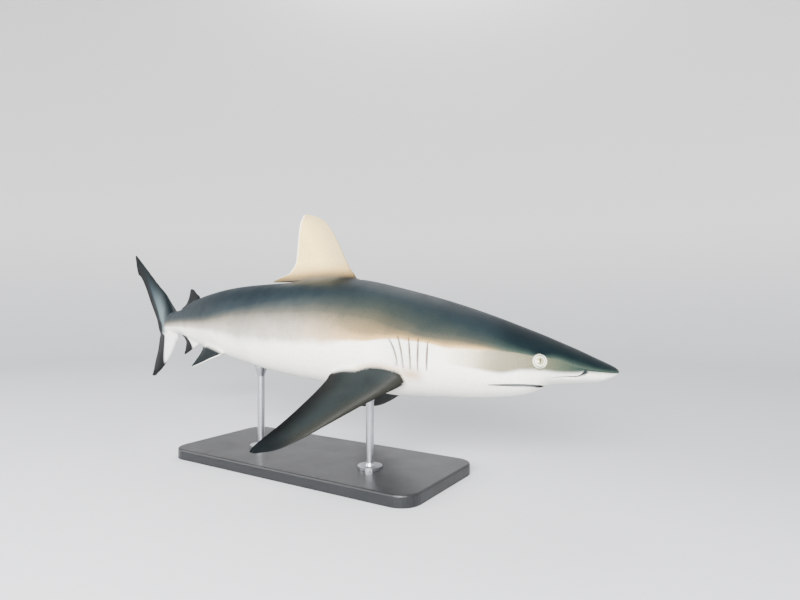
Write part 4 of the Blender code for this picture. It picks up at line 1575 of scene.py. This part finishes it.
    def _lower_lobe(self) -> Piece:
        """Models the lower lobe of the tail fin, rooted inside the upper one.

        Returns:
            The lobe.
        """
        tail = self.tail_fin
        front = knot_line((tail.lower_buried[0], *tail.lower_front))
        rear = knot_line((tail.lower_buried[1], *tail.lower_rear))
        rows = knot_line(tail.lower_rows)(np.linspace(0.0, 1.0, tail.lower_rings + 1))
        ring, number = Shop.ball(tail.lower_rings, tail.lower_around)
        row, turn = rows[ring], round_ring(number, tail.lower_around)
        at = front(row) + (rear(row) - front(row)) * (1 - np.cos(turn)) / 2
        level = tail.parts_at - row
        thick = tail.half_thickness(at, level) * (1 - tail.root_thinning * np.maximum(0.0, -row))
        thick = thick * closed_edge(turn, tail.lower_edge)
        return Shop.moulded("lower_tail_lobe", self.pose.place(at, thick, level))

    def _fins(self) -> list[Piece]:
        """Models all the fins.

        Returns:
            The fins.
        """
        grown = [
            self._midline_fin("first_dorsal", FIRST_DORSAL, self.form.back, 1.0),
            self._midline_fin("second_dorsal", SECOND_DORSAL, self.form.back, 1.0),
            self._midline_fin("anal", ANAL, self.form.belly, -1.0),
            self._lower_lobe(),
        ]
        return grown + [self._paired_fin(*fin) for fin in self.paired_frames()]

    def eye_frame(self, side: Side) -> tuple[Array, Array]:
        """Sets out an eye.

        Args:
            side: the side it is on.

        Returns:
            The centre of the eyeball and the direction it looks in.
        """
        eye = self.eye
        outer, inward = self._skin_path(np.array([eye.station]), np.array([eye.level]), side)
        depth = math.sqrt(eye.ball_radius**2 - eye.opening_radius**2) * self.pose.total_length
        return outer[0] + inward[0] * depth, -inward[0]

    def _lid(self, side: Side) -> Piece:
        """Models the rim of skin round an eye as a soft ring.

        Args:
            side: the side it is on.

        Returns:
            The rim.
        """
        eye, major, minor = self.eye, 1.0, 0.25
        Shop.put_down_all()
        bpy.ops.mesh.primitive_torus_add(
            major_segments=56, minor_segments=12, major_radius=major, minor_radius=minor
        )
        co = Shop.points(bpy.context.active_object)
        about = np.arctan2(co[:, 1], co[:, 0])
        across = (np.hypot(co[:, 0], co[:, 1]) - major) / minor
        above = co[:, 2] / minor
        radius = eye.opening_radius + self.rim_offset + self.rim_half * across
        s, z = eye.station + radius * np.cos(about), eye.level + radius * np.sin(about)
        skin, inward = self._skin_path(s, z, side)
        stand_out = (self.rim_rise + self.rim_half * above) * self.pose.total_length
        return Shop.moulded(f"lid_{side.name.lower()}", skin - inward * stand_out[:, None])

    def _blade(self, name: str, path: Array, inward: Array, widths: Array, depth: float) -> Piece:
        """Models a thin lens-shaped blade along a path on the skin, to cut a slot.

        Args:
            name: the piece's name.
            path: the places it follows.
            inward: the direction into the body at each place.
            widths: the slot's width at each place, as a share of the length.
            depth: how deep the slot is, as a share of the length.

        Returns:
            The blade.
        """
        length = self.pose.total_length
        across = unit(np.cross(unit(np.gradient(path, axis=0)), inward))
        ring, number = Shop.ball(len(path) - 1, self.blade_around)
        turn = round_ring(number, self.blade_around)
        pointed = (np.sign(np.cos(turn)) * np.abs(np.cos(turn)) ** self.blade_point)[:, None]
        deep = inward[ring] * (pointed * (depth * length))
        wide = across[ring] * (np.sin(turn) * (widths * length)[ring] / 2)[:, None]
        return Shop.moulded(name, path[ring] + deep + wide)

    def _skin_path(self, s: Array, z: Array, side: Side) -> tuple[Array, Array]:
        """Finds places on the skin.

        Args:
            s: the station of each place.
            z: its level.
            side: the flank it is on.

        Returns:
            The real places and the directions into the body.
        """
        turn = self.form.turn_at(s, z, side)
        path = self.surface(s, turn)
        step = 1e-4
        one = self.surface(s + step, turn, False) - self.surface(s - step, turn, False)
        two = self.surface(s, turn + 10 * step, False) - self.surface(s, turn - 10 * step, False)
        normal = unit(np.cross(one, two))
        outward = path - self.pose.place(s, 0.0, self.form.middle(s))
        return path, -normal * np.sign((normal * outward).sum(1))[:, None]

    def _gill_blades(self, side: Side) -> list[Piece]:
        """Models the blades that cut the slits of one side, each leaning under the flap before it.

        Args:
            side: the side.

        Returns:
            The blades.
        """
        found, gills = [], self.gills
        t = np.linspace(0.0, 1.0, gills.path_steps + 1)
        widths = gills.width * np.sin(math.pi * np.clip(t, gills.tip_share, 1 - gills.tip_share)) ** 0.5
        for number, (foot, lean, low, high) in enumerate(gills.slits, 1):
            path, inward = self._skin_path(foot + lean * t * t, low + (high - low) * t, side)
            slanted = unit(inward + gills.lean_forward * self.pose.along(foot)[1])
            found.append(self._blade(f"gill_{number}", path, slanted, widths, gills.depth))
        return found

    def _mouth_blade(self) -> Piece:
        """Models the blade that parts the jaws, from one corner of the mouth round to the other.

        Returns:
            The blade.
        """
        mouth, form = self.mouth, self.form
        share = np.linspace(-1.0, 1.0, mouth.path_steps + 1)
        s = mouth.front + (mouth.corner - mouth.front) * share**2
        level = mouth.level_at(s)
        right, left = (form.section(s, form.turn_at(s, level, side))[0] for side in Side)
        path = self.pose.place(s, np.where(share < 0, right, left), level)
        inward = unit(np.cross(np.gradient(path, axis=0), self.pose.along(s)[3]))
        middle = self.pose.place(mouth.corner, 0.0, mouth.jaw_level)[0]
        inward *= np.sign(((middle - path) * inward).sum(1))[:, None]
        return self._blade("mouth", path, inward, mouth.gap_at(s), mouth.depth)

    def _nostril_blade(self, side: Side) -> Piece:
        """Models the blade that cuts a nostril.

        Args:
            side: the side it is on.

        Returns:
            The blade.
        """
        s, z = np.array(self.nostril.path).T
        t = np.linspace(0.0, 1.0, len(s))
        fine = np.linspace(0.0, 1.0, self.nostril.path_steps + 1)
        path, inward = self._skin_path(smooth_line(t, s)(fine), smooth_line(t, z)(fine), side)
        widths = self.nostril.width * (1.0 - self.nostril.rear_narrowing * fine)
        return self._blade("nostril", path, inward, widths, self.nostril.depth)

    def _socket(self, side: Side) -> Piece:
        """Models the room of one eyeball.

        Args:
            side: the side it is on.

        Returns:
            The room.
        """
        centre, _ = self.eye_frame(side)
        Shop.put_down_all()
        radius = self.eye.ball_radius * self.pose.total_length + self.socket_gap
        bpy.ops.mesh.primitive_uv_sphere_add(segments=72, ring_count=48, radius=radius, location=centre)
        room = bpy.context.active_object
        Shop.set_place(room)
        return room

    def _cutters(self) -> list[Piece]:
        """Models everything that is cut from the skin.

        Returns:
            The cutting pieces.
        """
        found = [self._mouth_blade()]
        for side in Side:
            found += [*self._gill_blades(side), self._nostril_blade(side), self._socket(side)]
        return found

    def _tidy(self, skin: Piece) -> None:
        """Merges the near-doubles that cutting leaves.

        Args:
            skin: the skin.
        """
        Shop.pick(skin)
        bpy.ops.object.mode_set(mode="EDIT")
        bpy.ops.mesh.select_all(action="SELECT")
        bpy.ops.mesh.remove_doubles(threshold=self.double_gap)
        bpy.ops.mesh.dissolve_degenerate(threshold=self.thin_face)
        bpy.ops.object.mode_set(mode="OBJECT")

    def _touched(self, skin: Piece) -> dict[str, Array]:
        """Finds which points each kind of piece has a share in.

        Args:
            skin: the skin, its faces still marked by kind.

        Returns:
            For each kind, whether each point is on one of its faces.
        """
        mesh = skin.data
        corners = Shop.read(mesh.loops, "vertex_index")
        kinds = Shop.read(mesh.polygons, "material_index")
        kinds = np.repeat(kinds, Shop.read(mesh.polygons, "loop_total"))
        touched = {}
        for index, slot in enumerate(mesh.materials):
            found = touched.setdefault(slot.name, np.zeros(len(mesh.vertices), bool))
            found[corners[kinds == index]] = True
        return touched

    def _fillet(self, skin: Piece) -> None:
        """Rounds the creases where fins and lids grow out of the body.

        Args:
            skin: the skin, its faces still marked by kind.
        """
        count = len(skin.data.vertices)
        ends = Shop.read(skin.data.edges, "vertices", np.int32, 2)
        first, second = ends.T
        touched = self._touched(skin)
        degree = np.bincount(ends.ravel(), minlength=count)[:, None].clip(1)
        for name, reach, passes in self.fillets:
            co = Shop.points(skin)
            away = np.where(touched["flesh"] & touched[name], 0.0, 1.0)
            long = np.linalg.norm(co[first] - co[second], axis=1)
            for _ in range(self.fillet_steps):
                np.minimum.at(away, first, away[second] + long)
                np.minimum.at(away, second, away[first] + long)
            weight = (ease(1 - away / reach) * self.fillet_share)[:, None]
            for _ in range(passes):
                total = [
                    np.bincount(first, co[second, axis], count) + np.bincount(second, co[first, axis], count)
                    for axis in range(3)
                ]
                co = co + weight * (np.stack(total, axis=1) / degree - co)
            Shop.set_points(skin, co)


@dataclass
class SkinMarks:
    """Finds where each marking shows on the skin's points, and stores it there for the finish."""

    body: SharkSkin
    piece: Piece
    # Where painted shade is laid in the slots and along the gills' lips.
    slot_front: float = 0.15
    slot_skips: tuple[float, float] = (0.0006, 0.0001)
    slot_soft: float = 0.0006
    slots_end: float = 0.235
    lips_outside: float = 0.002
    faint: float = 0.5
    rim: tuple[float, float] = (0.0018, 0.0008)
    beside: tuple[float, float] = (0.006, 0.008)
    beside_midline: float = 0.02
    early: float = 0.1
    slab: tuple[float, float] = (0.014, 0.004)
    paired_rows: tuple[float, float] = (-0.0115, -0.013)
    shoulder_box: tuple[float, float, float] = (0.03, 0.03, 0.31)
    tail_start: tuple[float, float] = (0.735, 0.030)
    low_lobe_from: float = 0.70
    low_lobe_soft: float = 0.005
    off_fins: float = 0.5

    def __post_init__(self) -> None:
        """Reads where the points are."""
        self.co = Shop.points(self.piece)
        self.s, self.y, self.z = self.body.pose.straighten(self.co).T
        self.outside = self.body.form.depth_outside(self.s, self.y, self.z)
        none = np.zeros(len(self.s))
        self.shown = {name: none for name in ("dorsal", "pectoral", "pelvic", "second", "anal", "tail")}
        self.edges = none + self.off_fins, none + self.off_fins, none.copy()

    def store(self) -> None:
        """Stores all the markings."""
        marks, s, z = self.body.marks, self.s, self.z
        tone = marks.shaded(s, z, self.body.form.back(s))
        Shop.keep_attribute(self.piece, "coat_marks", s, tone, marks.cheek(s, z))
        Shop.keep_attribute(self.piece, "slot_shade_and_details", self._slot_shade(), self._rims(), marks.blush(s, z))
        self._find_midline_fins()
        self._find_paired_fins()
        self._find_tail()
        dorsal, pectoral, pelvic, second, anal, tail = self.shown.values()
        Shop.keep_attribute(self.piece, "fin_marks", dorsal, pectoral, pelvic)
        Shop.keep_attribute(self.piece, "rear_fin_marks", second, anal, tail)
        Shop.keep_attribute(self.piece, "fin_edges", *self.edges)

    def _slot_shade(self) -> Array:
        """Finds the painted shade in the insides of the slots, with the gills' lips and the spot behind them.

        Returns:
            How much of the painted shade shows at each point.
        """
        shallow = np.where(self.s < self.slot_front, *self.slot_skips)
        inside = ease((-self.outside - shallow) / self.slot_soft) * (self.s < self.slots_end)
        lips = self.body.gills.lips(self.s, self.z) * (self.outside < self.lips_outside)
        spot = self.body.marks.gill_spot.share(self.s, self.z)
        return np.maximum(inside, self.faint * np.maximum(lips, spot))

    def _rims(self) -> Array:
        """Finds the rims round the eyes.

        Returns:
            How much of a rim shows at each point.
        """
        rims, (wider, soft) = [], self.rim
        for side in Side:
            centre, look = self.body.eye_frame(side)
            offset = self.co - centre
            ahead = offset @ look
            off_axis = np.linalg.norm(offset - np.outer(ahead, look), axis=1) / self.body.pose.total_length
            rims.append(ease((self.body.eye.opening_radius + wider - off_axis) / soft) * (ahead > 0))
        return np.maximum(*rims)

    def _show(self, name: str, near: Array, share: Array) -> None:
        """Adds to how much of a fin shows at each point that is near it."""
        self.shown[name] = np.maximum(self.shown[name], np.where(near, share, 0.0))

    def _note(self, near: Array, at: Array, start: Array, end: Array, out: Array) -> None:
        """Notes how far a fin's points are from its edges, in metres, and how far out they are.

        Args:
            near: which points are the fin's.
            at: the place of each point along the chord.
            start: where the front edge is.
            end: where the rear edge is.
            out: how far out each point is, as a share of the span.
        """
        length = self.body.pose.total_length
        for noted, value in zip(self.edges, ((end - at) * length, (at - start) * length, out)):
            noted[near] = value[near]

    def _find_midline_fins(self) -> None:
        """Finds the fins that stand on the midline."""
        (before, behind), form, s = self.beside, self.body.form, self.s
        for name, plan, line, way, soft in (
            ("dorsal", FIRST_DORSAL, form.back, 1.0, 0.016),
            ("second", SECOND_DORSAL, form.back, 1.0, 0.004),
            ("anal", ANAL, form.belly, -1.0, 0.004),
        ):
            row, early = way * (self.z - line(s)), self.early * soft
            start, end = plan.edges(np.clip(row, 0.0, plan.span))
            near = (s > start - before) & (s < end + behind) & (row > -early)
            near &= np.abs(self.y) < self.beside_midline
            self._show(name, near, ease((row + early) / soft))
            self._note(near, s, start, end, row / plan.span)

    def _find_paired_fins(self) -> None:
        """Finds the paired fins, with the slate patch of the shoulder over a pectoral's root."""
        beside, (slab, slab_soft), (least_row, first_row) = self.beside[0], self.slab, self.paired_rows
        thick, low, behind = self.shoulder_box
        marks = self.body.marks
        patch = ease((knot_line(marks.shoulder)(self.s) - self.z) / marks.shoulder_soft + 0.5)
        for name, plan, (origin, back, outward, normal) in self.body.paired_frames():
            offset = (self.co - origin) / self.body.pose.total_length
            a, b, n = offset @ back, offset @ outward, offset @ normal
            start, end = plan.edges(np.clip(b, least_row, plan.span))
            near = (np.abs(n) < slab) & (b > first_row) & (self.outside > 0)
            near &= (a > start - beside) & (a < end + beside)
            onset, soft = (0.0, 0.0045) if plan is PECTORAL else (0.0005, 0.0060)
            flat = ease((self.outside - onset) / soft) * ease((slab - np.abs(n)) / slab_soft)
            self._show(name, near, flat)
            if plan is PECTORAL:
                above = n * np.sign(normal[2])
                shoulder = (above > 0) & (above < thick) & (np.abs(b) < low) & (self.s < behind)
                self._show(name, shoulder, patch)
            self._note(near, a, start, end, b / plan.span)

    def _find_tail(self) -> None:
        """Finds the tail fin."""
        (start, soft), length = self.tail_start, self.body.pose.total_length
        under = self.body.form.belly(self.s) - self.z
        low_lobe = (self.s > self.low_lobe_from) & (under > 0)
        self._show("tail", self.s > start, ease((self.s - start) / soft))
        self._show("tail", low_lobe, ease(under / self.low_lobe_soft))
        tail = self.shown["tail"] > 0
        front, rear = self.body.tail_fin.distances(self.s[tail], self.z[tail])
        self.edges[0][tail], self.edges[1][tail] = rear * length, front * length


@dataclass
class Eye:
    """One eyeball: a bulging ball whose iris and pupil face outwards."""

    skin: SharkSkin
    side: Side
    bulge: float = 0.0006
    bulge_reach: float = 0.42
    rings: int = 72
    around: int = 96
    hidden: float = 0.05

    def build(self) -> Piece:
        """Models the eye, with a clear bulge over the pupil, and puts it in its socket.

        Returns:
            The finished piece.
        """
        centre, look = self.skin.eye_frame(self.side)
        ahead = self.skin.pose.along(self.skin.eye.station)[1][0]
        up = np.cross(look, ahead)
        up = up / np.linalg.norm(up)
        up = up if up[2] > 0 else -up
        fore = np.cross(up, look)
        radius = self.skin.eye.ball_radius * self.skin.pose.total_length
        ring, number = Shop.ball(self.rings, self.around)
        tip, turn = ring / self.rings * math.pi, round_ring(number, self.around)
        reach = radius + self.bulge * hill(tip, 0.0, self.bulge_reach)
        aside = np.sin(tip) * reach
        flat = np.outer(aside * np.cos(turn), fore) + np.outer(aside * np.sin(turn), up)
        name = f"eye_{self.side.name.lower()}"
        eye = Shop.moulded(f"{name}_ball", centre + flat + np.outer(np.cos(tip) * reach, look))
        offset = Shop.points(eye) - centre
        across, over = offset @ fore, offset @ up
        place = np.where(offset @ look < 0, self.hidden, (across, over, np.hypot(across, over)))
        Shop.keep_attribute(eye, "iris_place", *place)
        eye.data.materials.append(EyeFinish().make())
        Shop.pick(eye)
        bpy.ops.object.shade_smooth()
        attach(eye, "root")
        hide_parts(name)
        return eye


@dataclass
class Stand:
    """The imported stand, kept as it is under better finishes."""

    nodes: dict[str, Piece]
    base: str = "stand_base"
    rods: tuple[str, ...] = ("stand_rod_front", "stand_rod_rear")

    def dress(self) -> list[Piece]:
        """Gives the base its paint and the rods their steel.

        Returns:
            The base and the rods.
        """
        paint, steel = PaintFinish().make(), SteelFinish().make()
        pieces = [self.nodes[name] for name in (self.base, *self.rods)]
        for piece, finish in zip(pieces, (paint, steel, steel)):
            piece.data.materials.clear()
            piece.data.materials.append(finish)
        return pieces


@dataclass
class Studio:
    """The plain pale room: floor with a curved backdrop, soft lights and the camera."""

    camera_place: tuple[float, float, float] = (0.7182, -0.8471, 0.3159)
    camera_turn: float = 32.0
    lens: float = 25.64
    sensor: float = 36.0
    floor_level: float = 0.0
    flat_floor: float = 2.4
    wall_run: float = 6.0
    wall_height: float = 6.0
    floor_size: float = 17.0
    floor_steps: int = 120
    paper: Tint = (212, 214, 217)
    paper_cloud: Tint = (206, 208, 211)
    # Painted light: the paper grows paler up the backdrop, making up for the weaker light that reaches it
    # there.
    painted_wall_light: Fade = Fade((250, 250, 250), 0.0, 1.0)
    air: Tint = (220, 223, 227)
    air_strength: float = 0.48
    aim: tuple[float, float, float] = (0.0, 0.0, 0.25)
    lamps: tuple[tuple[str, tuple[float, ...], tuple[float, float], float], ...] = (
        ("key", (0.9, -2.0, 0.95), (1.5, 0.7), 212.0),
        ("fill", (-1.6, -1.7, 0.95), (1.6, 0.7), 50.0),
        ("top", (0.0, 0.3, 6.5), (5.0, 5.0), 100.0),
        ("back", (-2.5, 5.0, 6.5), (4.0, 4.0), 330.0),
    )

    def build(self) -> None:
        """Sets up floor, lights and camera."""
        self._floor()
        for lamp in self.lamps:
            self._light(*lamp)
        self._world()
        self._camera()

    def _floor(self) -> None:
        """Models one sheet that is the floor and bends up all round to be the backdrop."""
        Shop.put_down_all()
        steps = self.floor_steps
        bpy.ops.mesh.primitive_grid_add(x_subdivisions=steps, y_subdivisions=steps, size=self.floor_size)
        floor = bpy.context.active_object
        floor.name = "studio_floor"
        co = Shop.points(floor)
        away = np.hypot(co[:, 0], co[:, 1])
        co[:, 2] = self.floor_level + self.wall_height * ease((away - self.flat_floor) / self.wall_run)
        Shop.set_points(floor, co)
        p = Palette("studio_paper")
        paper = p.mix(p.noise(3.0, 2.0), self.paper, self.paper_cloud)
        # Paler with height: painted light on the backdrop.
        p.set(Base_Color=p.past(p.parts(p.place())[2], self.painted_wall_light, paper), Roughness=0.85)
        floor.data.materials.append(p.material)
        Shop.pick(floor)
        bpy.ops.object.shade_smooth()

    def _light(self, name: str, place: tuple[float, ...], size: tuple[float, float], power: float) -> None:
        """Adds one soft oblong light that faces the shark.

        Args:
            name: what it is for.
            place: where it is.
            size: how wide and how high it is.
            power: how strong it is, in watts.
        """
        bpy.ops.object.light_add(type="AREA", location=place)
        lamp = bpy.context.active_object
        lamp.name = f"light_{name}"
        lamp.data.shape = "RECTANGLE"
        lamp.data.size, lamp.data.size_y = size
        lamp.data.energy = power
        aim = np.array(self.aim) - np.array(place)
        pitch = math.atan2(aim[2], math.hypot(aim[0], aim[1]))
        lamp.rotation_euler = (math.pi / 2 + pitch, 0.0, math.atan2(-aim[0], aim[1]))

    def _world(self) -> None:
        """Gives the room its pale surrounding light."""
        world = bpy.data.worlds.new("studio_air")
        world.use_nodes = True
        air = world.node_tree.nodes["Background"]
        air.inputs["Color"].default_value = tint(*self.air)
        air.inputs["Strength"].default_value = self.air_strength
        bpy.context.scene.world = world

    def _camera(self) -> None:
        """Adds the camera, level and beside the shark's head."""
        bpy.ops.object.camera_add(
            location=self.camera_place, rotation=(math.pi / 2, 0.0, math.radians(self.camera_turn))
        )
        camera = bpy.context.active_object
        camera.name = "studio_camera"
        camera.data.sensor_width = self.sensor
        camera.data.lens = self.lens
        camera.data.clip_start = 0.02
        bpy.context.scene.camera = camera


def main() -> None:
    """Builds every piece in order and reports it."""
    logging.basicConfig(level=logging.INFO, format="%(name)s: %(message)s")
    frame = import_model()
    skin = SharkSkin(SwimmingPose())
    piece = skin.build()
    log.info("skin: %d points, %d faces", len(piece.data.vertices), len(piece.data.polygons))
    for side in Side:
        log.info("eye: %s", Eye(skin, side).build().name)
    for node in Stand(frame["nodes"]).dress():
        log.info("stand: %s", node.name)
    Studio().build()
    log.info("studio: floor, lights and camera")


if __name__ == "__main__":
    main()
